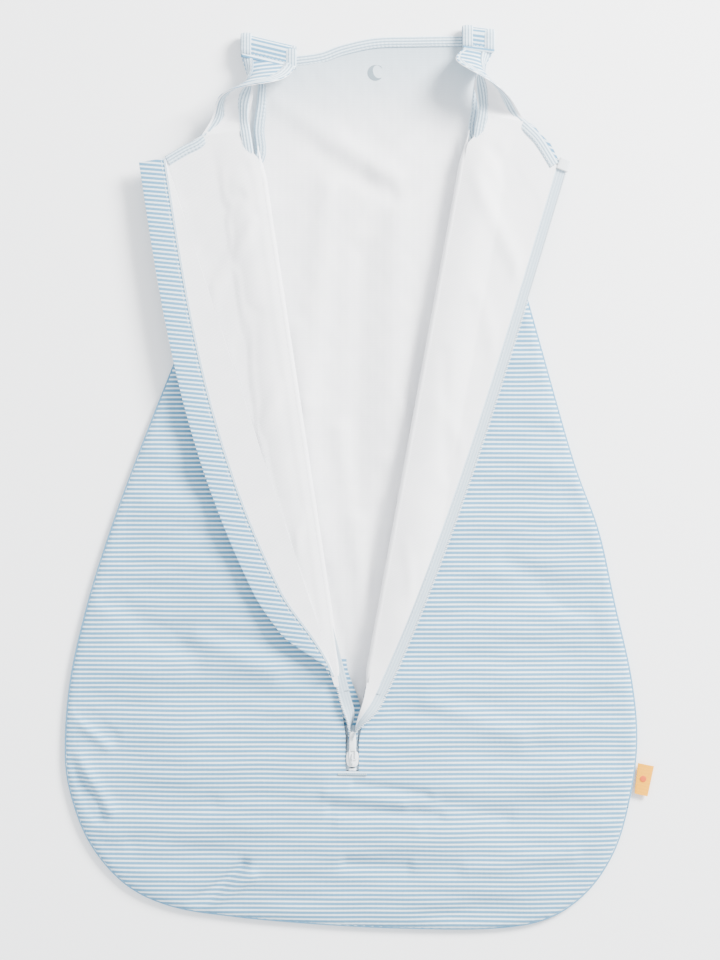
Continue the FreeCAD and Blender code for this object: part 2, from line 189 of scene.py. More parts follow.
def spline(points, count):
    """A smooth path through a few points (Catmull-Rom), evenly spaced."""
    p = np.asarray(points, float)
    p = np.vstack([2 * p[0] - p[1], p, 2 * p[-1] - p[-2]])
    out = []
    for i in range(1, len(p) - 2):
        t = np.linspace(0, 1, 24, endpoint=False)[:, None]
        a, b, c, d = p[i - 1], p[i], p[i + 1], p[i + 2]
        out.append(0.5 * ((2 * b) + (c - a) * t + (2 * a - 5 * b + 4 * c - d) * t ** 2
                          + (3 * b - a - 3 * c + d) * t ** 3))
    return resample(np.vstack(out + [p[-2:-1]]), count)


# ---------------------------------------------------------------- materials
class Nodes:
    """Short calls for building one node material."""

    def __init__(self, name):
        self.mat = bpy.data.materials.new(name)
        self.mat.use_nodes = True
        self.tree = self.mat.node_tree
        self.shader = self.tree.nodes["Principled BSDF"]

    def new(self, kind, **values):
        node = self.tree.nodes.new(kind)
        for key, value in values.items():
            if hasattr(node, key):
                setattr(node, key, value)
            else:
                node.inputs[key.replace("_", " ")].default_value = value
        return node

    def link(self, a, b):
        self.tree.links.new(a, b)

    def math(self, operation, a, b=None):
        node = self.new("ShaderNodeMath", operation=operation)
        for k, value in enumerate((a, b)):
            if value is None:
                continue
            if isinstance(value, (int, float)):
                node.inputs[k].default_value = value
            else:
                self.link(value, node.inputs[k])
        return node.outputs[0]

    def uv(self):
        node = self.new("ShaderNodeUVMap", uv_map="Cloth")
        split = self.new("ShaderNodeSeparateXYZ")
        self.link(node.outputs[0], split.inputs[0])
        return node.outputs[0], split.outputs[0], split.outputs[1]

    def noise(self, vector, scale, detail=2.0):
        node = self.new("ShaderNodeTexNoise", Scale=scale, Detail=detail)
        self.link(vector, node.inputs["Vector"])
        return node.outputs["Fac"]

    def mix(self, factor, a, b):
        node = self.new("ShaderNodeMix", data_type="RGBA")
        for socket, value in ((node.inputs[0], factor), (node.inputs[6], a), (node.inputs[7], b)):
            if isinstance(value, tuple):
                socket.default_value = value + (1.0,)
            elif isinstance(value, float):
                socket.default_value = value
            else:
                self.link(value, socket)
        return node.outputs[2]

    def bump(self, height, strength, distance):
        node = self.new("ShaderNodeBump")
        node.inputs["Strength"].default_value = strength
        node.inputs["Distance"].default_value = distance
        self.link(height, node.inputs["Height"])
        self.link(node.outputs[0], self.shader.inputs["Normal"])


def srgb(*values):
    return tuple((v / 255 / 12.92) if v <= 10 else ((v / 255 + 0.055) / 1.055) ** 2.4
                 for v in values)


LIGHT_STRIPE = srgb(238, 249, 254)
DARK_STRIPE = srgb(88, 142, 176)
LINING = srgb(250, 250, 252)


def knit(nodes, across, along, wale, depth):
    """Height of fine knit loops: wales across, small courses along."""
    ribs = nodes.math("SINE", nodes.math("MULTIPLY", across, 2 * math.pi / (wale * MM)))
    rows = nodes.math("SINE", nodes.math("MULTIPLY", along, 2 * math.pi / (wale * 1.4 * MM)))
    loops = nodes.math("MULTIPLY_ADD", ribs, 0.7)
    nodes.link(nodes.math("MULTIPLY", rows, 0.3), loops.node.inputs[2])
    return nodes.math("MULTIPLY", loops, depth)


def cloth_look(nodes, roughness=0.92, sheen=0.25):
    nodes.shader.inputs["Roughness"].default_value = roughness
    nodes.shader.inputs["Sheen Weight"].default_value = sheen
    nodes.shader.inputs["Sheen Roughness"].default_value = 0.6
    nodes.shader.inputs["Specular IOR Level"].default_value = 0.15


def jersey_striped(name, light, dark):
    """Yarn-dyed stripes across the cloth's own v."""
    nodes = Nodes(name)
    vector, u, v = nodes.uv()
    wander = nodes.math("MULTIPLY", nodes.noise(vector, 9.0), 0.0022)
    place = nodes.math("DIVIDE", nodes.math("ADD", v, wander), STRIPE * MM)
    phase = nodes.math("FRACT", place)
    tri = nodes.math("ABSOLUTE", nodes.math("SUBTRACT", phase, 0.5))
    edge = nodes.math("MULTIPLY", nodes.noise(vector, 1900.0), 0.10)
    ramp = nodes.new("ShaderNodeMapRange", interpolation_type="SMOOTHSTEP")
    nodes.link(nodes.math("ADD", tri, edge), ramp.inputs["Value"])
    ramp.inputs["From Min"].default_value = 0.28
    ramp.inputs["From Max"].default_value = 0.42
    fleck = nodes.math("MULTIPLY", nodes.noise(vector, 2600.0), 0.35)
    share = nodes.math("SUBTRACT", ramp.outputs[0], fleck)
    nodes.link(nodes.mix(share, dark, light), nodes.shader.inputs["Base Color"])
    nodes.bump(knit(nodes, u, v, 0.95, 1.0), 0.45, 0.00022)
    cloth_look(nodes)
    return nodes.mat


def jersey_plain(name, colour, shade, wale=0.9, strength=0.35, painted_shade=None):
    nodes = Nodes(name)
    vector, u, v = nodes.uv()
    cloud = nodes.noise(vector, 40.0)
    colour_out = nodes.mix(cloud, shade, colour)
    # Painted shade: the colour is blended towards a darker tint across a band of y, in place of the
    # shade that the raised neck edge casts.
    if painted_shade:
        position = nodes.new("ShaderNodeNewGeometry")
        split = nodes.new("ShaderNodeSeparateXYZ")
        nodes.link(position.outputs["Position"], split.inputs[0])
        fade = nodes.new("ShaderNodeMapRange", interpolation_type="SMOOTHSTEP")
        nodes.link(split.outputs[1], fade.inputs["Value"])
        fade.inputs["From Min"].default_value = painted_shade[0] * MM
        fade.inputs["From Max"].default_value = painted_shade[1] * MM
        colour_out = nodes.mix(fade.outputs[0], colour_out, painted_shade[2])
    nodes.link(colour_out, nodes.shader.inputs["Base Color"])
    nodes.bump(knit(nodes, u, v, wale, 1.0), strength, 0.0002)
    cloth_look(nodes)
    return nodes.mat


def rib_binding(name, light, dark, period=2.3):
    """Folded binding: its knit runs lengthwise in fine light and dark lines."""
    nodes = Nodes(name)
    vector, u, v = nodes.uv()
    wave = nodes.math("SINE", nodes.math("MULTIPLY", v, 2 * math.pi / (period * MM)))
    share = nodes.math("MULTIPLY_ADD", wave, 0.34)
    share.node.inputs[2].default_value = 0.5
    share = nodes.math("ADD", share, nodes.math("MULTIPLY", nodes.noise(vector, 700.0), 0.3))
    nodes.link(nodes.mix(share, dark, light), nodes.shader.inputs["Base Color"])
    nodes.bump(knit(nodes, v, u, period, 1.0), 0.5, 0.0003)
    cloth_look(nodes)
    return nodes.mat


def woven_tape(name, colour, dark):
    """Zip tape: a fine herringbone."""
    nodes = Nodes(name)
    vector, u, v = nodes.uv()
    slant = nodes.math("ADD", u, nodes.math("MULTIPLY", nodes.math("PINGPONG", v, 0.0012), 1.5))
    weave = nodes.math("SINE", nodes.math("MULTIPLY", slant, 2 * math.pi / 0.0011))
    lines = nodes.math("SINE", nodes.math("MULTIPLY", v, 2 * math.pi / 0.0024))
    share = nodes.math("MULTIPLY_ADD", nodes.math("ADD", weave, lines), 0.13)
    share.node.inputs[2].default_value = 0.6
    nodes.link(nodes.mix(share, dark, colour), nodes.shader.inputs["Base Color"])
    nodes.bump(weave, 0.35, 0.0002)
    cloth_look(nodes, 0.8, 0.1)
    return nodes.mat


def smooth_part(name, colour, roughness, metallic=0.0, bumps=0.15, scale=900.0):
    nodes = Nodes(name)
    coords = nodes.new("ShaderNodeTexCoord")
    fleck = nodes.noise(coords.outputs["Object"], scale)
    dim = tuple(c * 0.86 for c in colour)
    nodes.link(nodes.mix(fleck, dim, colour), nodes.shader.inputs["Base Color"])
    nodes.shader.inputs["Roughness"].default_value = roughness
    nodes.shader.inputs["Metallic"].default_value = metallic
    nodes.bump(fleck, bumps, 0.00015)
    return nodes.mat


STRIPED = jersey_striped("Striped_jersey", LIGHT_STRIPE, DARK_STRIPE)
# The back lining has painted shade: its colour darkens to grey-blue from y 250 to 345 mm, where the
# raised neck edge and shoulders shade it.
LINING_MAT = jersey_plain("Lining_jersey", LINING, srgb(231, 233, 237),
                          painted_shade=(250, 345, srgb(178, 194, 204)))
FLAP_LINING_MAT = jersey_plain("Flap_lining_jersey", LINING, srgb(232, 234, 238))
BINDING_MAT = rib_binding("Binding_jersey", srgb(214, 232, 242), srgb(70, 110, 140))
TAPE_MAT = woven_tape("Zip_tape", srgb(214, 229, 238), srgb(112, 146, 170))
TACK_THREAD = smooth_part("Bar_tack_thread", srgb(140, 168, 186), 0.75)
COIL_MAT = smooth_part("Zip_coil", srgb(226, 234, 239), 0.45)
ENAMEL = smooth_part("Slider_enamel", srgb(234, 239, 242), 0.3)
GARAGE_MAT = jersey_plain("Garage_cloth", srgb(232, 236, 239), srgb(214, 221, 226), 0.7)
THREAD = smooth_part("Sewing_thread", srgb(222, 231, 237), 0.75)
LABEL_MAT = woven_tape("Side_label", srgb(246, 172, 0), srgb(224, 148, 0))
LABEL_DOT = smooth_part("Label_dot", srgb(214, 86, 22), 0.8)
PRINT = smooth_part("Neck_print", srgb(126, 142, 152), 0.9)

# Material and record slot, as they are passed together.
JERSEY = (STRIPED, "striped_jersey")
FLAP_LINING = (FLAP_LINING_MAT, "lining_jersey")
BOUND = (BINDING_MAT, "binding_jersey")
SEWN = (THREAD, "thread")


# ---------------------------------------------------------------- shared outlines, in mm
V_Y = -223.5
SKIN = 1.0
RIM_Z = 2.6
RIM_INNER_Z = 5.2
FRONT_LEAST_Z = 4.9
RIM_ROUND = 7.0
FOLD_START, ARM_S = 66.0, {-1: 483.0, 1: 498.0}
STRAP_S = {-1: 503.0, 1: 518.0}
STRAP_REACH = {-1: (56.6, 41.5), 1: (49.8, 48.4)}
STRAP_TOP = {-1: (-2.0, 38.0), 1: (-7.0, 15.0)}
STRAP_LOW = (4.0, 42.0)
ZIP_LOW, ZIP_TOP = 61.0, 488.0
SLOT_HALF = 5.2
CLOTH_INSET = 5.6
BOW = 12.0
GUARD_BOW = 27.0
GUARD_W = 20.0
LEFT_SIDE = [(-76, 253), (-121, 138), (-167, 21), (-190, -42), (-207, -97), (-220, -155)]
HEM = [(-224, -210), (-219, -246), (-204, -283), (-177, -314), (-142, -331), (-95, -339),
       (-30, -345), (40, -348.5), (110, -348.5), (152, -341), (182, -321), (203, -291),
       (215, -254)]
RIGHT_SIDE = [(222, -205), (218, -155), (205, -96), (192, -38), (171, 21), (135, 148), (99, 268)]
LEFT_ARMHOLE = [(-76, 255), (-77, 274), (-74.5, 296), (-74, 314), (-78, 328), (-84, 338)]
RIGHT_ARMHOLE = [(99, 271), (101, 290), (103, 312), (105, 328), (109, 340)]
BACK_NECK = [(-46, 331), (-25, 334), (-8, 340), (18, 345.5), (50, 346.5), (86, 347)]
RIM = spline(LEFT_SIDE + HEM + RIGHT_SIDE, 700)


def zip_bow(s):
    """How far the closed zip's line sways to the left, as soft cloth does."""
    t = np.clip((np.asarray(s, float) - 18) / (ZIP_TOP - 18), 0, 1)
    return BOW * np.sin(math.pi * t ** 0.7)


def zip_out(side, s, inset):
    return zip_d(s, inset) + side * zip_bow(s)


def flap_share(s):
    """Share of the fold's turn that the zip's foot has taken at distance s."""
    return ease((np.asarray(s, float) - FOOT_S[0]) / (FOOT_S[1] - FOOT_S[0]))


def on_flap(side):
    return lambda p: flap_point(side, p[..., 0], p[..., 1], p[..., 2])


def on_foot(side):
    return lambda p: turned(side, p[..., 0], p[..., 1], p[..., 2], flap_share(p[..., 1]))


def quads(index):
    a, b = index[:-1, :-1], index[:-1, 1:]
    c, d = index[1:, 1:], index[1:, :-1]
    return np.stack([a, b, c, d], -1).reshape(-1, 4)


def sheet_mesh(name, top, bottom, uv, material, slot):
    """A closed thin piece between two grids of points."""
    rows, cols = top.shape[:2]
    count = rows * cols
    index = np.arange(count).reshape(rows, cols)
    ring = np.concatenate([index[0, :-1], index[:-1, -1], index[-1, :0:-1], index[:0:-1, 0]])
    edge = 2 * count + np.arange(len(ring))
    after = np.roll(edge, -1)
    walls = np.stack([after, edge, edge + len(ring), after + len(ring)], -1)
    faces = np.concatenate([quads(index), quads(index[::-1] + count), walls])
    upper, lower, place = top.reshape(-1, 3), bottom.reshape(-1, 3), uv.reshape(-1, 2)
    verts = np.concatenate([upper, lower, upper[ring], lower[ring]])
    uvs = np.concatenate([place, place, place[ring], place[ring]]) * MM
    return add_object(name, verts, faces.tolist(), uvs, material)


def cross_frame(path, up):
    tangent = np.gradient(path, axis=0)
    tangent /= np.maximum(np.linalg.norm(tangent, axis=1, keepdims=True), 1e-9)
    side = np.cross(tangent, up)
    side /= np.maximum(np.linalg.norm(side, axis=1, keepdims=True), 1e-9)
    return side, np.cross(side, tangent)


def tube(name, path, width, thick, material, slot, up=(0, 0, 1), warp=None, around=14, v0=0.0):
    """A soft rounded band swept along a path; width and thick may vary along it."""
    path = np.asarray(path, float)
    count = len(path)
    width = np.broadcast_to(np.asarray(width, float), count)
    thick = np.broadcast_to(np.asarray(thick, float), count)
    side, normal = cross_frame(path, np.asarray(up, float))
    angle = np.linspace(0, 2 * math.pi, around, endpoint=False)
    across = np.sign(np.cos(angle)) * np.abs(np.cos(angle)) ** 0.65 / 2
    high = np.sign(np.sin(angle)) * np.abs(np.sin(angle)) ** 0.75 / 2
    points = (path[:, None] + side[:, None] * (width[:, None] * across)[..., None]
              + normal[:, None] * (thick[:, None] * high)[..., None])
    if warp:
        points = warp(points)
    index = np.arange(count * around).reshape(count, around)
    wrapped = np.concatenate([index, index[:, :1]], 1)
    faces = quads(wrapped).tolist()
    faces += [index[0].tolist()[::-1], index[-1].tolist()]
    u = np.repeat(path_length(path), around).reshape(count, around)
    v = v0 + width[:, None] * across
    uv = np.stack([u, v], -1).reshape(-1, 2) * MM
    return add_object(name, points.reshape(-1, 3), faces, uv, material)


def stitches(name, path, material, slot, up=(0, 0, 1), warp=None, length=2.0, gap=1.0, size=0.42):
    """A row of separate threads lying along a path."""
    path = np.asarray(path, float)
    given = path_length(path)
    run = np.linspace(0, given[-1], max(int(given[-1] * 2), 8))
    ups = np.broadcast_to(np.asarray(up, float), path.shape)
    ups = np.stack([np.interp(run, given, ups[:, k]) for k in range(3)], 1)
    path = np.stack([np.interp(run, given, path[:, k]) for k in range(3)], 1)
    side, normal = cross_frame(path, ups)
    centres = np.arange(length / 2, run[-1] - length / 2, length + gap)
    rings = [(-0.5, 0.15), (-0.3, 0.9), (0.0, 1.0), (0.3, 0.9), (0.5, 0.15)]
    angle = np.linspace(0, 2 * math.pi, 6, endpoint=False)
    verts, faces = [], []
    for centre in centres:
        base = sum(len(v) for v in verts)
        for share, fat in rings:
            at = np.clip(centre + share * length, 0, run[-1])
            mid = np.array([np.interp(at, run, path[:, k]) for k in range(3)])
            nearest = int(np.searchsorted(run, at).clip(0, len(run) - 1))
            ring = (mid + side[nearest] * np.cos(angle)[:, None] * size / 2 * fat
                    + normal[nearest] * np.sin(angle)[:, None] * size / 2 * fat)
            verts.append(ring)
        for r in range(len(rings) - 1):
            for k in range(6):
                n = (k + 1) % 6
                a = base + r * 6
                faces.append((a + k, a + n, a + 6 + n, a + 6 + k))
        faces.append(tuple(range(base + 5, base - 1, -1)))
        faces.append(tuple(range(base + 24, base + 30)))
    points = np.concatenate(verts)
    if warp:
        points = warp(points)
    return add_object(name, points, faces, np.zeros((len(points), 2)), material)


def smooth_path(points, count):
    return spline([tuple(p) for p in points], count)


def flat(points, z):
    points = np.asarray(points, float)
    return np.concatenate([points, np.full((len(points), 1), float(z))], 1)


def inset_line(path, amount):
    """A plan path moved to its left by the amount."""
    tangent = np.gradient(path, axis=0)
    tangent /= np.linalg.norm(tangent, axis=1, keepdims=True)
    return path + np.stack([-tangent[:, 1], tangent[:, 0]], 1) * amount


# ---------------------------------------------------------------- the bag's own panels
def crease_z(y):
    return 16 - SKIN - 0.010 * np.maximum(0, y - V_Y)


def near_point(path, x, y):
    return int(np.argmin(np.hypot(path[:, 0] - x, path[:, 1] - y)))


def front_plan(count_rows, inset):
    """Plan grid of the front: rows run from the rim (0) to the folds and the zip notch."""
    rim = inset_line(RIM, inset)
    inner = []
    for side in (-1, 1):
        s = np.linspace(470, FOLD_START + 4, 40)
        crease = flap_point(side, np.full(40, 1.2), s, -SKIN)[:, :2]
        s = np.linspace(FOLD_START + 4, 0, 40)
        foot = flap_point(side, np.full(40, 1.2), s, -SKIN)[:, :2]
        foot[:, 0] = side * np.maximum(side * foot[:, 0], SLOT_HALF)
        foot[-1] = (side * SLOT_HALF, V_Y - 0.8)
        inner.append((crease, foot))
    anchors = [(-220, -155), (-177, -314), (177, -318), (219, -165)]
    cuts = [0] + [near_point(rim, *a) for a in anchors] + [len(rim) - 1]
    left, right = inner
    parts = [left[0], left[1], np.vstack([left[1][-1:], right[1][-1:]]),
             right[1][::-1], right[0][::-1]]
    rows_in, rows_out = [], []
    for k, part in enumerate(parts):
        piece = rim[cuts[k]:cuts[k + 1] + 1]
        count = len(piece) if k == len(parts) - 1 else len(piece) - 1
        ends = resample(part, len(piece))[:count]
        rows_in.append(ends)
        rows_out.append(piece[:count])
    outer, inner_line = np.vstack(rows_out), np.vstack(rows_in)
    t = np.linspace(0, 1, count_rows) ** 1.25
    return outer[None] * (1 - t)[:, None, None] + inner_line[None] * t[:, None, None], t


FRONT_CREASES = [
    (-226, -168, -186, -200, 4.5, -2.4), (-220, -178, -190, -206, 5.0, 1.6),
    (-222, -216, -196, -262, 4.5, -2.6), (-214, -214, -188, -256, 5.0, 1.8),
    (-124, -333, -84, -297, 4.5, -2.6), (-116, -336, -78, -306, 5.0, 1.6),
    (2, -234, 58, -243, 4.0, -1.5), (-20, -241, 40, -250, 5.0, 1.2),
    (-16, -254, 66, -259, 5.0, -1.3), (-10, -264, 50, -269, 6.0, 0.9),
    (-4, -296, 42, -299, 6.0, -1.6), (70, -250, 120, -262, 7.0, -1.2),
    (-120, -120, -60, -150, 9.0, 1.5), (60, -170, 130, -200, 10.0, 1.4),
    (-190, -90, -120, -140, 9.0, -1.3), (120, -60, 190, -110, 10.0, -1.2),
    (90, -300, 170, -290, 8.0, 1.1), (-170, -280, -110, -250, 9.0, -1.2),
]


def front_top(x, y, t, from_rim):
    """Height of the front's outer cloth."""
    dome = ease((V_Y + 60 - y) / 60)
    share = t + dome * (np.sin(t * math.pi / 2) - t)
    z = RIM_INNER_Z + (crease_z(y) - RIM_INNER_Z) * share
    calm = ease(from_rim / 18) * ease((1 - t) / 0.12)
    z += calm * (1.6 * strokes(x, y, FRONT_CREASES) + 3.2 * ripple(x * 0.45, y, 50, 3))
    z += calm * 1.0 * ripple(x * 0.35, y, 20, 5)
    z = np.maximum(z, FRONT_LEAST_Z)
    edge = np.clip(from_rim / RIM_ROUND, 0, 1)
    pucker = 0.35 * np.sin(RIM_RUN * 2 * math.pi / 6.5) * np.exp(-(from_rim / 4.0) ** 2)
    return RIM_Z + (z - RIM_Z) * np.sqrt(1 - (1 - edge) ** 2) + pucker


RIM_RUN = path_length(RIM)[None, :]


def front_panel(name, drop, thickness, inset, material, slot):
    plan, t = front_plan(72, inset)
    x, y = plan[..., 0], plan[..., 1]
    rim = plan[0]
    from_rim = np.linalg.norm(plan - rim[None], axis=2)
    z = front_top(x, y, t[:, None], from_rim) - drop
    top = np.stack([x, y, z], -1)
    bottom = top - np.array([0, 0, thickness])
    return sheet_mesh(name, top, bottom, plan, material, slot), plan


def coons(bottom, right, top, left, rows, cols):
    """A grid inside four boundary paths that meet at the corners."""
    b, t = resample(bottom, cols), resample(top, cols)
    l, r = resample(left, rows), resample(right, rows)
    u = np.linspace(0, 1, cols)[None, :, None]
    v = np.linspace(0, 1, rows)[:, None, None]
    ruled = (1 - v) * b[None] + v * t[None] + (1 - u) * l[:, None] + u * r[:, None]
    corner = ((1 - u) * (1 - v) * b[0] + u * (1 - v) * b[-1] + (1 - u) * v * t[0] + u * v * t[-1])
    return ruled - corner


def back_plan(inset, edge):
    """Plan grid of the whole back, from the hem to the neck and armhole edges."""
    rim = inset_line(RIM, inset)
    low_left, low_right = near_point(rim, -204, -283), near_point(rim, 203, -291)
    arm_left = smooth_path(LEFT_ARMHOLE, 60) + np.array([edge, 0])
    arm_right = smooth_path(RIGHT_ARMHOLE, 60) - np.array([edge, 0])
    neck = smooth_path(BACK_NECK, 90) - np.array([0, edge])
    left = np.vstack([rim[:low_left + 1][::-1], arm_left])
    right = np.vstack([rim[low_right:], arm_right])
    top = np.vstack([arm_left[-1:], neck, arm_right[-1:]])
    return coons(rim[low_left:low_right + 1], right, top, left, 170, 120)


def rim_distance(plan):
    ring = np.vstack([RIM])
    flat_points = plan.reshape(-1, 2)
    nearest = np.full(len(flat_points), 1e9)
    for p in ring[::2]:
        nearest = np.minimum(nearest, np.hypot(flat_points[:, 0] - p[0], flat_points[:, 1] - p[1]))
    return nearest.reshape(plan.shape[:2])


LINING_FOLDS = [
    (-58, 292, 34, 236, 9.0, 2.4), (84, 296, 20, 242, 10.0, 2.2),
    (-50, 270, 30, 222, 8.0, -1.6), (78, 272, 26, 226, 8.0, -1.4),
    (-20, 230, -34, 60, 10.0, 2.2), (34, 210, 28, 20, 11.0, 2.0),
    (8, 180, 2, -20, 9.0, -1.8), (-44, 120, -24, -60, 8.0, 1.8),
    (58, 120, 34, -70, 8.0, -1.5), (-10, 40, 12, -110, 7.0, 1.9),
    (22, -20, 6, -150, 6.0, -1.6), (40, 60, 50, -40, 6.0, 1.3),
    (-30, -40, -4, -140, 5.0, -1.3), (10, -110, 2, -190, 4.0, 1.2),
]


def build_panels():
    made = {}
    made["front_outer"], _ = front_panel("Front_outer_cloth", 0, 1.0, 0.6, *JERSEY)
    made["front_lining"], _ = front_panel("Front_lining_cloth", 1.5, 0.7, 1.4, *FLAP_LINING)
    plan = back_plan(0.6, BINDING_W * 0.55)
    x, y = plan[..., 0], plan[..., 1]
    from_rim = rim_distance(plan)
    edge = np.clip(from_rim / 6.0, 0, 1)
    low = 2.0 * (1 - np.sqrt(1 - (1 - edge) ** 2))
    bottom = points_of(x, y, low)
    made["back_outer"] = sheet_mesh("Back_outer_cloth", bottom + np.array([0, 0, 1.0]), bottom,
                                    plan, *JERSEY)
    plan = back_plan(1.8, BINDING_W * 0.6)
    x, y = plan[..., 0], plan[..., 1]
    calm = ease((rim_distance(plan) - 18) / 50) * ease((340 - y) / 30)
    high = 2.3 + calm * (1.6 + strokes(x, y, LINING_FOLDS) + 0.9 * ripple(x, y * 0.45, 46, 11)
                         + 0.25 * ripple(x, y, 15, 12))
    high = np.maximum(high, 2.1)
    top = points_of(x, y, high)
    made["back_lining"] = sheet_mesh("Back_lining_cloth", top, lowered(top, 0.8),
                                     plan, LINING_MAT, "lining_jersey")
    for key, obj in made.items():
        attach(obj, "bag")
        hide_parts(key)
    return made


def rim_seams():
    """The overlocked ridge where back and front are joined."""
    cuts = [0, near_point(RIM, -219, -246), near_point(RIM, 215, -254), len(RIM) - 1]
    names = ["left_side_seam", "hem_seam", "right_side_seam"]
    for k, node in enumerate(names):
        path = inset_line(RIM, 0.9)[cuts[k]:cuts[k + 1] + 1]
        ridge = tube(node.capitalize(), flat(path, 2.5), 1.9, 2.3, *JERSEY)
        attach(ridge, "bag")
        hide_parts(node)


def binding(name, node, plan_path, inward, z=2.3):
    """A folded binding over a flat edge of the back, with its twin-needle stitching."""
    path = inset_line(plan_path, inward * BINDING_W / 2)
    band = tube(name, flat(path, z), BINDING_W, 2.5, *BOUND)
    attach(band, "bag")
    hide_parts(node)
    for k, share in enumerate(TWIN_NEEDLE):
        line = inset_line(plan_path, inward * BINDING_W * share)
        row = stitches(name + "_stitch_" + str(k + 1), flat(line, z + 1.22), *SEWN)
        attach(row, "bag")


def build_bindings():
    binding("Back_neck_binding", "back_neck_binding", smooth_path(BACK_NECK, 90), -1)
    binding("Left_back_armhole_binding", "left_back_armhole_binding",
            smooth_path([(-84, 243)] + LEFT_ARMHOLE, 60), -1)
    binding("Right_back_armhole_binding", "right_back_armhole_binding",
            smooth_path([(107, 259)] + RIGHT_ARMHOLE, 60), 1)


# ---------------------------------------------------------------- folded flaps
def neck_edge(side):
    """The flap's neck edge as (out, s), from the zip end to the strap."""
    start = STRAP_S[side]
    middle = 498 + (start - 503) * 0.7
    return [(zip_d(492, TAPE_W), 492.0), (57.0, middle), (42.0, start)]


def flap_uv(side, out, s):
    """Cloth place of a flap point, as it lies in the closed front."""
    angle = FOLD_ANGLE[side]
    x = side * (s * math.sin(angle) - out * math.cos(angle))
    y = V_Y + s * math.cos(angle) + out * math.sin(angle)
    return np.stack([x, y], -1)


def flap_grid(side, outer_edge, low=FOLD_START, rows=150, cols=44):
    """(out, s) grid of a flap between its fold and its zip edge, up to the neck edge."""
    neck = neck_edge(side)
    c = as_row(0, 1, cols)
    r = as_column(0, 1, rows)
    top_out = c * neck[0][0]
    knots = [(0, STRAP_S[side])] + [(d, s) for d, s in neck[::-1]]
    top_s = np.interp(top_out, [k[0] for k in knots], [k[1] for k in knots])
    s = low + r * (top_s - 3.0 * ease((top_out - 36) / 12) - low)
    inner = 5.0 * ease((s - ARM_S[side] + 6) / 10)
    out = inner + c * (np.maximum(outer_edge(s), inner + 0.3) - inner)
    return out, s


FLAP_FOLDS = {
    -1: [(10, 430, 60, 372, 6.0, 1.8), (18, 452, 66, 420, 5.0, -1.4), (8, 300, 40, 262, 7.0, 1.3),
         (6, 200, 30, 150, 5.0, 1.4), (12, 120, 22, 92, 4.0, -1.0), (20, 360, 50, 300, 8.0, -1.0)],
    1: [(8, 470, 60, 400, 7.0, 1.8), (20, 492, 70, 440, 6.0, -1.3), (30, 380, 60, 320, 7.0, 1.1),
        (10, 330, 30, 240, 6.0, -1.0), (8, 180, 26, 130, 5.0, 1.1), (14, 290, 50, 250, 7.0, 0.9)],
}


def lining_up(side, out, s, outer):
    """Height of the flap's lining above the fold axis: a soft roll, then nearly flat."""
    roll = np.clip(out / 16, 0, 1)
    swell = 3.2 * np.sin(np.clip(out / 34, 0, 1) * math.pi) * ease((STRAP_S[side] - s) / 40)
    swell *= ease((s - FOLD_START) / 60)
    calm = ease((outer - out) / 10) * roll * ease((STRAP_S[side] - 6 - s) / 16)
    folds = strokes(out, s, FLAP_FOLDS[side]) + 0.7 * ripple(out, s * 0.6, 40, 21 + side)
    return np.maximum(3.3 + swell + calm * folds, 3.1)


def flap_panels(side):
    name = SIDE_NAME[side]
    body = name + "_flap"
    warp = on_flap(side)

    def outer_zip(s):
        return zip_out(side, s, CLOTH_INSET)

    out, s = flap_grid(side, outer_zip)
    under = np.stack([out, s, np.full(out.shape, 1.15)], -1)
    over = under + np.array([0, 0, 0.9])
    cloth_outer = sheet_mesh(name.capitalize() + "_flap_outer_cloth", warp(over), warp(under),
                             flap_uv(side, out, s), *JERSEY)
    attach(cloth_outer, body)
    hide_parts(body + "_outer")

    def outer_lining(s):
        if side < 0:
            return zip_d(s, TAPE_W) + 2.5
        return zip_out(side, s, TAPE_W) - 0.2

    out, s = flap_grid(side, outer_lining)
    up = lining_up(side, out, s, outer_lining(s))
    if side < 0:
        up -= 0.9 * ease(out / 12) * ease((up - 4.2) / 1.5)
    top = np.stack([out, s, up], -1)
    bottom = lowered(top, 0.7)
    cloth_lining = sheet_mesh(name.capitalize() + "_flap_lining_cloth", warp(top), warp(bottom),
                              flap_uv(side, out, s), *FLAP_LINING)
    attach(cloth_lining, body)
    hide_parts(body + "_lining")


def fold_roll(side):
    """The rolled cloth along the fold line."""
    name = SIDE_NAME[side]
    s = as_column(FOLD_START - 3, ARM_S[side] + 6, 130)
    phi = as_row(-90, 90, 15)
    turn = np.radians(phi)
    for label, radius, thick, material, slot in (
            ("outer", 2.05, 0.9, *JERSEY),
            ("lining", 3.35, 0.7, *FLAP_LINING)):
        grids = []
        for r in (radius, radius - thick):
            shrink = 0.35 + 0.65 * ease((s - FOLD_START + 3) / 16)
            shrink = shrink * (1 - 0.75 * ease((s - ARM_S[side] + 22) / 26))
            out = -r * shrink * np.cos(turn)
            up = r * shrink * np.sin(turn)
            grids.append(flap_point(side, out, s + 0 * phi, up))
        uv = points_of(s * math.sin(FOLD_ANGLE[side]) * side
                                          + radius * turn, s * math.cos(FOLD_ANGLE[side]) + V_Y)
        obj = sheet_mesh(name.capitalize() + "_fold_roll_" + label, grids[0], grids[1], uv,
                         material, slot)
        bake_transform(obj)


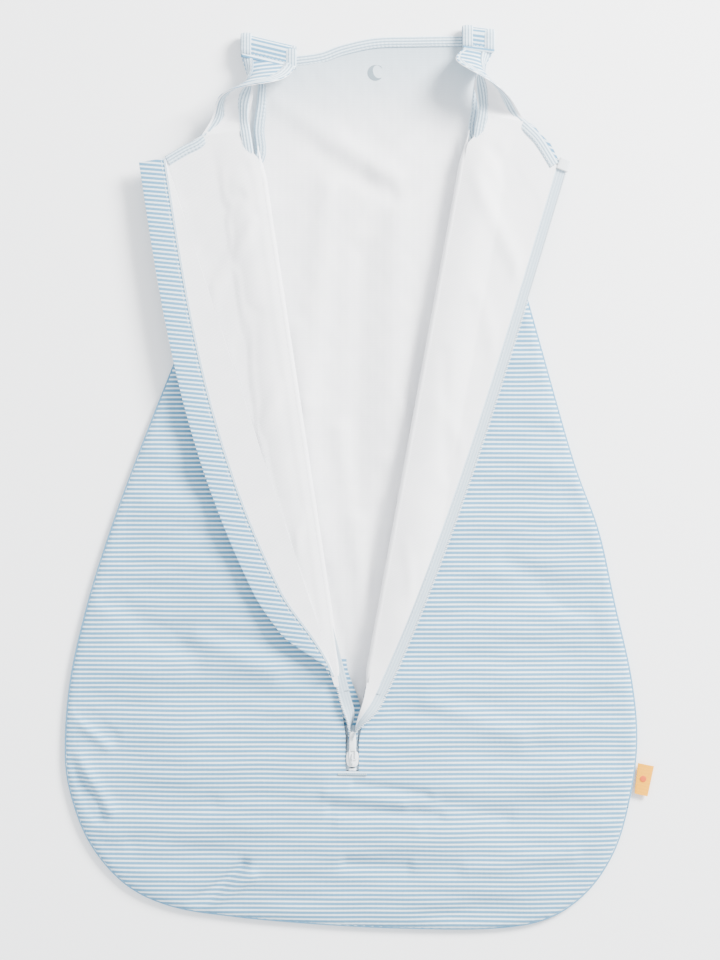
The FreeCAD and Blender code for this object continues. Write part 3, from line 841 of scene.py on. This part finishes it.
def zip_half(side):
    """Tape, teeth and stop of one zip half, from the end of the turned foot to the neck."""
    name = SIDE_TITLE[side]
    body = SIDE_NAME[side] + "_flap"
    warp = on_flap(side)
    s = np.linspace(ZIP_LOW, ZIP_TOP, 170)
    c = np.linspace(0, 1, 9)
    s_grid, c_grid = np.broadcast_arrays(s[:, None], c[None, :])
    inset = TAPE_W + 0.4 - c_grid * (TAPE_W + 0.4 - COIL_GAP - COIL_W * 0.55)
    rise = 2.7
    ridge = 0.25 * np.exp(-((c_grid - 0.72) / 0.05) ** 2)
    top = np.stack([zip_out(side, s_grid, inset), s_grid, rise + ridge], -1)
    uv = np.stack([s_grid, c_grid * (TAPE_W - COIL_GAP)], -1)
    tape = sheet_mesh(name + "_zip_tape", warp(top), warp(lowered(top, 0.5)), uv,
                      TAPE_MAT, "zip_tape")
    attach(tape, body)
    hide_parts(body.replace("_flap", "_zip_tape"))
    teeth = coil_teeth(name + "_zip_coil", np.arange(ZIP_LOW + 0.5, ZIP_TOP - 2.8, 1.35),
                       lambda s, inset: zip_out(side, s, inset), rise - 0.25, warp)
    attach(teeth, body)
    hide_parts(body.replace("_flap", "_zip_coil"))
    stop_path = [(zip_d(v, COIL_GAP + COIL_W / 2), v, rise - 0.3) for v in (485.6, 486.8, 488.0)]
    stop = tube(name + "_top_stop", stop_path, 2.0, 1.7, COIL_MAT, "zip_metal", warp=warp)
    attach(stop, body)
    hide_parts(body.replace("_flap", "_top_stop"))
    if side > 0:
        line = [(zip_out(1, v, TAPE_W - 1.6), v, rise + 0.12) for v in np.linspace(70, 482, 90)]
        row = stitches("Right_tape_stitch", line, *SEWN, warp=warp)
        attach(row, body)


def coil_teeth(name, stations, out_at, up, warp):
    """Separate rounded teeth along one zip edge."""
    base = np.array([(x, y, z) for z in (-1, 1) for x, y in
                     ((-1, -0.7), (0.6, -0.7), (1, 0), (0.6, 0.7), (-1, 0.7))], float)
    inner = base * np.array([0.95, 0.42, 0.62])
    rows = []
    for z, shrink in ((-0.75, 0.7), (-0.35, 1.0), (0.35, 1.0), (0.75, 0.7)):
        ring = inner[:5].copy()
        ring[:, :2] *= shrink
        ring[:, 2] = z
        rows.append(ring)
    shape = np.concatenate(rows)
    faces = [(4, 3, 2, 1, 0), (15, 16, 17, 18, 19)]
    for r in range(3):
        for k in range(5):
            n = (k + 1) % 5
            faces.append((r * 5 + k, r * 5 + n, r * 5 + 5 + n, r * 5 + 5 + k))
    verts, all_faces = [], []
    for i, s in enumerate(stations):
        centre = np.array([float(out_at(s, COIL_GAP + COIL_W * 0.45)), s, up])
        verts.append(shape + centre)
        all_faces += [tuple(i * 20 + v for v in face) for face in faces]
    points = warp(np.concatenate(verts))
    return add_object(name, points, all_faces, np.zeros((len(points), 2)), COIL_MAT)


STRAP_ARCH = 9.0
SEAM_NORMAL = {-1: (0.232, 0.973), 1: (0.124, 0.992)}
SEAM_RUN = {-1: (248.5, 302.0), 1: (296.0, 345.0)}


def strap_weight(side, rest):
    """Share by which a strap point follows the flap; none at the shoulder seam."""
    nx, ny = SEAM_NORMAL[side]
    low, high = SEAM_RUN[side]
    return 1 - ease((rest[..., 0] * nx + rest[..., 1] * ny - low) / (high - low))


def on_strap(side):
    """Turns points of the closed front over with the strap; the weight settles in a few steps."""
    def warp(p):
        weight = np.full(p.shape[:-1], 0.5)
        for _ in range(60):
            rest = turned(side, p[..., 0], p[..., 1], p[..., 2], weight)
            weight = 0.6 * weight + 0.4 * strap_weight(side, rest)
        return turned(side, p[..., 0], p[..., 1], p[..., 2], weight)
    return warp


def blend_strap(obj):
    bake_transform(obj)


def strap_local(side, share, across):
    """The strap as it lies in the closed front: (inward, s, height)."""
    arm_reach, neck_reach = STRAP_REACH[side]
    s = STRAP_S[side] + share * (arm_reach + (neck_reach - arm_reach) * across)
    swell = np.sin(math.pi * np.clip(share, 0, 1))
    low, top = STRAP_LOW, STRAP_TOP[side]
    arm = low[0] + (top[0] - low[0]) * share
    neck = low[1] + (top[1] - low[1]) * share
    neck = neck - (neck - arm - 27.0) * swell
    inward = arm + (neck - arm) * across
    height = -SKIN - 0.1 + STRAP_ARCH * swell * np.sin(math.pi * across)
    return points_of(inward, s, height)


def strap_edge(side, label):
    """Closed path of a whole edge, flap and strap together, and the slope of its cloth."""
    across = 0.0 if label == "arm" else 1.0
    share = np.linspace(0.1, 1, 24)
    upper = strap_local(side, share, across)
    upper[:, 2] = -2.0
    slope = STRAP_ARCH * math.pi / 27 * np.sin(math.pi * share)
    if label == "arm":
        lower = [(3.5, v, -2.7) for v in np.linspace(ARM_S[side] - 6, STRAP_S[side] - 2, 6)]
    else:
        edge = neck_edge(side)
        lower = [edge[0] + (-2.7,), edge[1] + (-2.7,), (edge[2][0] + 4, edge[2][1] - 1.5, -2.6)]
    points = np.vstack([lower, upper])
    slope = np.concatenate([np.zeros(len(lower)), slope])
    path = spline(np.concatenate([points, slope[:, None]], 1), 120)
    return path[:, :3], path[:, 3]


def edge_binding(side, label):
    """The folded binding along one whole edge of the front, with its stitching."""
    name = SIDE_TITLE[side] + "_" + label
    warp = on_strap(side)
    path, slope = strap_edge(side, label)
    inward = -1 if label == "arm" else 1
    made = []
    for share, kind in ((0.5, "binding"), (TWIN_NEEDLE[0], "stitch_1"), (TWIN_NEEDLE[1], "stitch_2")):
        moved = path.copy()
        moved[:, :2] = inset_line(path[:, :2], inward * BINDING_W * share)
        moved[:, 2] += slope * BINDING_W * share * 0.85
        up = np.stack([inward * slope, np.zeros(len(path)), np.ones(len(path))], 1)
        up /= np.linalg.norm(up, axis=1, keepdims=True)
        if kind == "binding":
            made.append(tube(name + "_edge_binding", moved, BINDING_W, 2.8, *BOUND,
                             up=up, warp=warp))
            continue
        for face in (-1, 1):
            row = moved + up * 1.36 * face
            made.append(stitches(name + "_edge_" + kind + ("_in" if face < 0 else "_out"), row,
                                 *SEWN, up=up, warp=warp))
    for obj in made:
        blend_strap(obj)
    node = "_front_armhole_binding" if label == "arm" else "_neck_binding"
    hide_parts(SIDE_NAME[side] + node)


def strap(side):
    name = SIDE_TITLE[side]
    warp = on_strap(side)
    grid = strap_local(side, as_column(-0.04, 1, 70), as_row(0, 1, 22))
    down = np.array([0, 0, 1.0])
    uv = np.stack([side * -grid[..., 0], V_Y + grid[..., 1]], -1)
    pieces = [
        sheet_mesh(name + "_strap_outer_cloth", warp(grid), warp(grid - down), uv, *JERSEY),
        sheet_mesh(name + "_strap_lining_cloth", warp(grid - down), warp(grid - down * 1.9), uv,
                   *FLAP_LINING),
    ]
    for obj in pieces:
        blend_strap(obj)
    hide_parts(SIDE_NAME[side] + "_strap")
    for label in ("arm", "neck"):
        edge_binding(side, label)


SHOULDER_LINE = {-1: ((-86, 343), (-44, 333)), 1: ((110, 346), (86, 349))}


def shoulder(side):
    """The back shoulder rolled over its top, and the raised seam to the front strap."""
    name = SIDE_TITLE[side]
    outer, inner = [np.array(p, float) for p in SHOULDER_LINE[side]]
    turn = np.radians(np.concatenate([np.linspace(-90, 90, 15), [90, 90, 90]]))[:, None]
    run = np.concatenate([np.zeros(15), [4.0, 8.0, 12.3]])[:, None]
    c = as_row(0, 1, 18)
    grids = []
    for r in (5.4, 4.5, 3.6):
        x = outer[0] + (inner[0] - outer[0]) * c + 0 * turn
        y = outer[1] + (inner[1] - outer[1]) * c + r * np.cos(turn) - run
        z = 5.4 + r * np.sin(turn)
        grids.append(points_of(x, y, z))
    uv = points_of(grids[0][..., 0], 340 + 6 * turn - run)
    cloth_out = sheet_mesh(name + "_shoulder_cloth", grids[0], grids[1], uv, *JERSEY)
    cloth_in = sheet_mesh(name + "_shoulder_lining", grids[1], grids[2], uv, *FLAP_LINING)
    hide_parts(SIDE_NAME[side] + "_shoulder")
    ends = np.stack([outer, inner]) - np.array([0, 12.4])
    line = flat(resample(ends, 24), 10.6)
    seam = tube(name + "_shoulder_seam", line, 3.0, 2.0, *JERSEY)
    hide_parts(SIDE_NAME[side] + "_shoulder_seam")
    for obj in (cloth_out, cloth_in, seam):
        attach(obj, "bag")
    for k, gap in enumerate((2.6, 4.8)):
        row = stitches(name + "_shoulder_stitch_" + str(k + 1), line + np.array([0, gap, 0.35]),
                       *SEWN)
        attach(row, "bag")
    for k, end in enumerate((0, -1)):
        path = np.stack([grids[0][:, end], grids[2][:, end]]).mean(0)
        shift = (1 if k == 0 else -1) * side * -0.42 * BINDING_W
        path = path + np.array([shift, 0, 0.1])
        mid = np.array([path[8, 0], outer[1], 5.4])
        up = path - mid
        up[:, 0] = 0
        up[15:] = (0, 0, 1)
        edge = tube(name + "_shoulder_binding_" + str(k + 1), path, BINDING_W, 2.9, *BOUND, up=up)
        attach(edge, "bag")


# ---------------------------------------------------------------- zip foot, guard, slider
def blend_foot(obj, side):
    """Bake the piece's transform into its mesh; the foot's ends on the fold are worked out but not
    used.
    """
    start, end = [tuple(flap_point(side, 0.0, s, 0.0) * MM) for s in FOOT_S]
    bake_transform(obj)


def zip_foot(side):
    """The lowest stretch of one zip half, turning over from the closed end to the flap."""
    name = SIDE_TITLE[side]
    warp = on_foot(side)
    s = np.linspace(0.5, ZIP_LOW + 1.0, 60)
    c = np.linspace(0, 1, 9)
    s_grid, c_grid = np.broadcast_arrays(s[:, None], c[None, :])
    inset = TAPE_W + 0.4 - c_grid * (TAPE_W + 0.4 - COIL_GAP - COIL_W * 0.55)
    height = np.full(s_grid.shape, -2.2)
    top = np.stack([zip_out(side, s_grid, inset), s_grid, height], -1)
    uv = np.stack([s_grid, c_grid * (TAPE_W - COIL_GAP)], -1)
    tape = sheet_mesh(name + "_foot_tape", warp(top), warp(lowered(top, 0.5)), uv,
                      TAPE_MAT, "zip_tape")
    coil = coil_teeth(name + "_foot_coil", np.arange(1.6, ZIP_LOW - 0.3, 1.35),
                      lambda s, inset: zip_out(side, s, inset), -2.45, warp)
    line = [(zip_out(side, v, TAPE_W - 1.6), v, -2.05) for v in np.linspace(2, ZIP_LOW, 40)]
    row = stitches(name + "_foot_stitch", line, *SEWN, warp=warp)
    for obj in (tape, coil, row):
        blend_foot(obj, side)
    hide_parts(SIDE_NAME[side] + "_foot_tape")
    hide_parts(SIDE_NAME[side] + "_foot_coil")


def foot_cloth(side):
    """The front's cloth beside the zip's foot, turning over with it."""
    name = SIDE_TITLE[side]
    warp = on_foot(side)
    s = as_column(24, FOLD_START + 1, 50)
    c = as_row(0, 1, 10)
    edge = np.maximum(zip_out(side, s, CLOTH_INSET), -0.6)
    inward = -1.4 + (edge + 1.4) * c
    top = points_of(inward, s, -1.2 + 0 * inward)
    obj = sheet_mesh(name + "_foot_cloth", warp(top), warp(lowered(top, 0.9)),
                     flap_uv(side, top[..., 0], top[..., 1]), *JERSEY)
    blend_foot(obj, side)


def foot_lining():
    """The lining edge beside the right tape where the front begins to turn over."""
    warp = on_foot(1)
    s = as_column(30, FOLD_START + 3, 40)
    c = as_row(0, 1, 8)
    edge = np.maximum(zip_out(1, s, TAPE_W - 0.2), -0.6)
    inward = -1.2 + (edge + 1.2) * c
    top = points_of(inward, s, -2.75 + 0 * inward)
    obj = sheet_mesh("Right_foot_lining", warp(top), warp(lowered(top, 0.5)),
                     flap_uv(1, top[..., 0], top[..., 1]), *FLAP_LINING)
    blend_foot(obj, 1)


def guard_foot():
    """The guard's lowest part, which stays inside the bag behind the zip's foot."""
    y = as_column(-215, -138, 40)
    c = as_row(0, 1, 12)
    left = -2.0 + (y + 215) * -0.16
    right = 9.5 - 8.0 * ease((y + 200) / 56) - 6.0 * ease((y + 172) / 34)
    x = left + (right - left) * c
    z = 8.6 - 0.02 * (y + 215) + 0.4 * np.sin(c * math.pi) + 0 * x
    top = points_of(x, y, z)
    obj = sheet_mesh("Guard_foot_cloth", top, lowered(top, 1.2), top[..., :2], *JERSEY)
    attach(obj, "bag")


def foot_backing():
    """Tape ends joined behind the closed foot of the zip."""
    y = as_column(V_Y - 1, V_Y + 34, 24)
    c = as_row(-1, 1, 15)
    x = c * (10.0 - 3.5 * ease((y - V_Y - 6) / 28))
    z = crease_z(y) - 5.4 - 0.5 * c ** 2 + 0 * x
    top = points_of(x, y, z)
    obj = sheet_mesh("Foot_backing", top, lowered(top, 0.6), top[..., ::-1][..., 1:],
                     TAPE_MAT, "zip_tape")
    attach(obj, "bag")


def guard_bow(s):
    t = np.clip((np.asarray(s, float) - 60) / 430, 0, 1)
    return GUARD_BOW * np.sin(math.pi * t ** 0.85) * ease(t * 5)


def guard():
    """The doubled striped strip sewn beside the left zip half, and its stitched margin."""
    warp = on_flap(-1)
    s = as_column(74, 490, 170)
    narrow = ease((s - 74) / 40)
    hinge = zip_d(s, TAPE_W) - 0.2
    seam = hinge + 0.6 + guard_bow(s)
    outer = seam + 1.0 + (GUARD_W - 1.0) * narrow
    lift = 1.6 * ease((outer - hinge) / 60)
    c = as_row(0, 1, 16)
    out = hinge + (seam - hinge) * c
    up = 6.0 + 0.7 * c + 0 * s
    top = points_of(out, s, up)
    margin = sheet_mesh("Guard_margin_cloth", warp(top), warp(lowered(top, 0.8)),
                        flap_uv(-1, top[..., 0], top[..., 1]), *FLAP_LINING)
    c = as_row(0, 1, 20)
    out = seam + (outer - seam) * c
    puff = 0.55 * np.sin(math.pi * np.clip(c, 0, 1)) ** 0.6
    wave = 0.5 * ripple(out * 0.3, s, 55, 31)
    up = 6.7 + puff + lift * c + wave * c
    top = points_of(out, s, up)
    under = points_of(out, s, up - 1.0 - puff * 1.4)
    uv = np.stack([top[..., 0], V_Y + top[..., 1] - 0.25 * top[..., 0]], -1)
    strip = sheet_mesh("Zip_guard_cloth", warp(top), warp(under), uv, *JERSEY)
    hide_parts("zip_guard")
    path = np.stack([seam[:, 0], s[:, 0], 6.9 + 0 * s[:, 0]], 1)
    overlock = tube("Guard_overlock", path, 1.5, 1.1, BINDING_MAT, "thread", warp=warp)
    row = stitches("Guard_stitch", path + np.array([2.6, 0, 0.25]), *SEWN, warp=warp)
    for obj in (margin, strip, overlock, row):
        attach(obj, "guard")


def zip_frame():
    """Origin and the three directions of the closed zip, taken from the slider's own axis."""
    slide = JOINTS["slider_run"]
    along = np.array(slide["axis"], float)
    along /= np.linalg.norm(along)
    swing = JOINTS["puller_swing"]
    across = np.array(swing["axis"], float)
    across /= np.linalg.norm(across)
    return np.array([0, V_Y, 16.0]), across, along, np.cross(across, along)


def on_zip(p):
    origin, across, along, normal = zip_frame()
    return (origin + p[..., 0:1] * across + p[..., 1:2] * along + p[..., 2:3] * normal)


def rounded_slab(name, outline, low, high, material, warp, crown=0.0, steps=5):
    """A plate of the given outline with softly rounded edges, between two heights."""
    outline = np.asarray(outline, float)
    centre = outline.mean(0)
    rings = []
    half = (high - low) / 2
    for k in range(steps + 1):
        angle = math.pi * (k / steps - 0.5)
        inset = half * 0.8 * (1 - math.cos(angle))
        size = np.linalg.norm(outline - centre, axis=1, keepdims=True)
        ring = centre + (outline - centre) * (1 - inset / size)
        rings.append(flat(ring, (low + high) / 2 + half * math.sin(angle)))
    ring = rings[-1].copy()
    ring[:, :2] = centre + (ring[:, :2] - centre) * 0.55
    ring[:, 2] += crown
    rings.append(ring)
    count = len(outline)
    verts = np.concatenate(rings)
    index = np.arange(len(verts)).reshape(len(rings), count)
    wrapped = np.concatenate([index, index[:, :1]], 1)
    faces = quads(wrapped).tolist()
    faces += [index[0].tolist()[::-1], index[-1].tolist()]
    return add_object(name, warp(verts), faces, verts[:, :2] * MM, material)


def oval(width, length, centre, power=3.0, count=40, taper=0.0):
    """A rounded outline; taper makes its far end narrower."""
    angle = np.linspace(0, 2 * math.pi, count, endpoint=False)
    x = np.sign(np.cos(angle)) * np.abs(np.cos(angle)) ** (2 / power) * width / 2
    y = np.sign(np.sin(angle)) * np.abs(np.sin(angle)) ** (2 / power) * length / 2
    x = x * (1 - taper * (y / length + 0.5))
    return np.stack([x + centre[0], y + centre[1]], 1)


def slider_parts():
    middle = -2.45
    body = [
        rounded_slab("Slider_top_plate", oval(9.0, 12.5, (0, 8.75), 3.2, taper=-0.12),
                     middle + 1.35, middle + 2.5, ENAMEL, on_zip, 0.15),
        rounded_slab("Slider_bottom_plate", oval(9.0, 12.5, (0, 8.75), 3.2, taper=-0.12),
                     middle - 2.4, middle - 1.35, ENAMEL, on_zip, 0.0),
        rounded_slab("Slider_post", oval(1.2, 3.0, (0, 13.0), 2.0, count=16),
                     middle - 1.5, middle + 1.5, ENAMEL, on_zip, 0.0),
    ]
    top = middle + 2.4
    arch = np.linspace(0, math.pi, 24)
    path = np.stack([0 * arch, 8.6 - 3.9 * np.cos(arch), top - 0.2 + 2.3 * np.sin(arch) ** 0.7], 1)
    body.append(tube("Slider_bridge", path, 1.9, 0.8, ENAMEL, "zip_metal", up=(1, 0, 0.001),
                     warp=on_zip, around=10))
    for obj in body:
        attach(obj, "slider")
    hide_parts("slider")
    pivot = np.array(JOINTS["puller_swing"]["pos_m"]) / MM
    origin, across, along, normal = zip_frame()
    place = pivot - origin
    v0, w0 = float(place @ along), float(place @ normal)
    bar = np.stack([np.linspace(-2.7, 2.7, 9), np.full(9, v0), np.full(9, w0)], 1)
    pull = [tube("Puller_bar", bar, 0.9, 0.9, ENAMEL, "zip_metal", warp=on_zip, around=10)]
    for k, side in enumerate((-1, 1)):
        arm = np.stack([np.full(8, side * 2.2), np.linspace(v0, v0 + 8, 8), np.full(8, w0)], 1)
        pull.append(tube("Puller_arm_" + str(k + 1), arm, 1.1, 0.9, ENAMEL, "zip_metal",
                         warp=on_zip, around=10))
    pull.append(rounded_slab("Puller_blade", oval(5.6, 15.0, (0, v0 + 14.0), 4.0, taper=0.12),
                             w0 - 0.5, w0 + 0.5, ENAMEL, on_zip, 0.25))
    for obj in pull:
        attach(obj, "puller")
    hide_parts("puller")


def zip_end():
    """Bottom stop and the dense bar of stitching across the tape ends."""
    stop = rounded_slab("Bottom_stop", oval(6.0, 2.2, (0, 0.2), 4.0, count=24), -3.5, -1.4,
                        COIL_MAT, on_zip, 0.1)
    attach(stop, "bag")
    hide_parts("bottom_stop")
    verts = []
    for k in range(27):
        x = -10.8 + k * 0.83
        lean = 0.25 * (-1) ** k
        verts.append([(x - lean, -4.4, -0.55), (x, -3.4, -0.2), (x + lean, -2.3, -0.55)])
    bars = [tube("Bar_tack_" + str(k + 1), row, 0.75, 0.6, TACK_THREAD, "thread",
                 warp=on_zip, around=8)
            for k, row in enumerate(verts)]
    bpy.ops.object.select_all(action="DESELECT")
    for obj in bars:
        obj.select_set(True)
    bpy.context.view_layer.objects.active = bars[0]
    bpy.ops.object.join()
    bars[0].name = "Bar_tack"
    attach(bars[0], "bag")
    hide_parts("bar_tack")


def side_label():
    """A small folded woven tag with a plain orange dot."""
    corners = np.array([(222.6, -219.5), (235.0, -222.0), (230.0, -245.5), (219.9, -243.2)])
    u = np.linspace(0, 1, 14)[None, :, None]
    v = np.linspace(0, 1, 20)[:, None, None]
    plan = ((1 - u) * (1 - v) * corners[0] + u * (1 - v) * corners[1]
            + (1 - u) * v * corners[3] + u * v * corners[2])
    puff = 0.35 * np.sin(math.pi * u[..., 0]) ** 0.5 + 0.3 * u[..., 0]
    z = 2.5 + puff + 0 * plan[..., 0]
    top = np.concatenate([plan, z[..., None]], 2)
    uv = np.stack([u[..., 0] * 12 + 0 * z, v[..., 0] * 23 + 0 * z], -1)
    tag = sheet_mesh("Side_label_tag", top, lowered(top, 0.7), uv, LABEL_MAT, "label")
    centre = plan[9, 6]
    dot = rounded_slab("Side_label_dot", oval(5.0, 5.0, tuple(centre), 2.0, count=28), 2.85, 3.2,
                       LABEL_DOT, lambda p: p, 0.05)
    for obj in (tag, dot):
        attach(obj, "label")
    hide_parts("side_label")


def neck_print():
    """A plain crescent moon printed on the lining inside the neck."""
    start, turn = math.radians(35), math.radians(290)
    outer = np.linspace(start, start + turn, 60)
    centre = np.array([18.0, 318.0])
    rim = centre + 6.2 * np.stack([np.cos(outer), np.sin(outer)], 1)
    middle = centre + np.array([2.7, 1.6])
    toward = rim - middle
    inner = middle + toward * (4.6 / np.linalg.norm(toward, axis=1, keepdims=True))
    fade = np.sin(np.linspace(0, math.pi, 60))[:, None] ** 0.5
    inner = rim + (inner - rim) * fade
    grid = np.stack([rim, inner], 1)
    grid = grid[:, :1] + (grid[:, 1:] - grid[:, :1]) * np.linspace(0, 1, 5)[None, :, None]
    return grid


def lay_print(lining):
    tree = BVHTree.FromObject(lining, bpy.context.evaluated_depsgraph_get())
    grid = neck_print()
    top = np.zeros(grid.shape[:2] + (3,))
    for i in range(grid.shape[0]):
        for j in range(grid.shape[1]):
            x, y = grid[i, j] * MM
            hit = tree.ray_cast(Vector((x, y, 0.05)), Vector((0, 0, -1)))[0]
            top[i, j] = np.array(hit) / MM + np.array([0, 0, 0.12])
    moon = sheet_mesh("Neck_print_moon", top, lowered(top, 0.1), grid, PRINT,
                      "lining_jersey")
    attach(moon, "bag")


# ---------------------------------------------------------------- stage, light and camera
def stage():
    mesh = bpy.data.meshes.new("table")
    size, floor = 6.0, -0.0006
    mesh.from_pydata([(-size, -size, floor), (size, -size, floor), (size, size, floor),
                      (-size, size, floor)], [], [(0, 1, 2, 3)])
    table = bpy.data.objects.new("table", mesh)
    bpy.context.scene.collection.objects.link(table)
    nodes = Nodes("Pale_table")
    nodes.shader.inputs["Base Color"].default_value = (0.93, 0.94, 0.95, 1)
    nodes.shader.inputs["Roughness"].default_value = 0.9
    mesh.materials.append(nodes.mat)


def lamp(name, energy, size, place, target, colour=(1, 1, 1)):
    data = bpy.data.lights.new(name, "AREA")
    data.energy = energy
    data.shape = "RECTANGLE"
    data.size, data.size_y = size
    data.color = colour
    obj = bpy.data.objects.new(name, data)
    obj.location = place
    aim = Vector(target) - Vector(place)
    obj.rotation_euler = aim.to_track_quat("-Z", "Y").to_euler()
    bpy.context.scene.collection.objects.link(obj)


def light():
    world = bpy.data.worlds.new("Studio")
    world.use_nodes = True
    world.node_tree.nodes["Background"].inputs["Color"].default_value = (0.95, 0.97, 1.0, 1)
    world.node_tree.nodes["Background"].inputs["Strength"].default_value = 1.8
    bpy.context.scene.world = world
    lamp("Key", 290, (1.0, 0.8), (1.6, 1.3, 1.25), (0, 0, 0), (1.0, 0.985, 0.965))
    lamp("Fill", 16, (1.6, 1.6), (-1.4, -0.6, 1.8), (0, 0, 0))


def camera():
    data = bpy.data.cameras.new("Camera")
    data.lens, data.sensor_width, data.sensor_fit = 85, 36, "AUTO"
    obj = bpy.data.objects.new("Camera", data)
    height = 0.749 * 85 / 36
    obj.location = (0.006, 0.001, height)
    bpy.context.scene.collection.objects.link(obj)
    bpy.context.scene.camera = obj


def garage():
    """The folded fabric tab at the top end of the right zip half."""
    v = np.linspace(486.5, 495.5, 12)
    path = np.stack([zip_d(v, TAPE_W / 2 + 0.6), v, np.full(12, 3.3)], 1)
    tab = tube("Zip_garage_tab", path, 9.6, 2.6, GARAGE_MAT, "zip_garage", warp=on_flap(1))
    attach(tab, "right_flap")
    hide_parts("zip_garage")


def main():
    made = build_panels()
    rim_seams()
    build_bindings()
    for side in (-1, 1):
        flap_panels(side)
        fold_roll(side)
        zip_half(side)
        strap(side)
        shoulder(side)
        zip_foot(side)
        foot_cloth(side)
    foot_lining()
    guard_foot()
    foot_backing()
    guard()
    garage()
    slider_parts()
    zip_end()
    side_label()
    lay_print(made["back_lining"])
    stage()
    light()
    camera()


main()
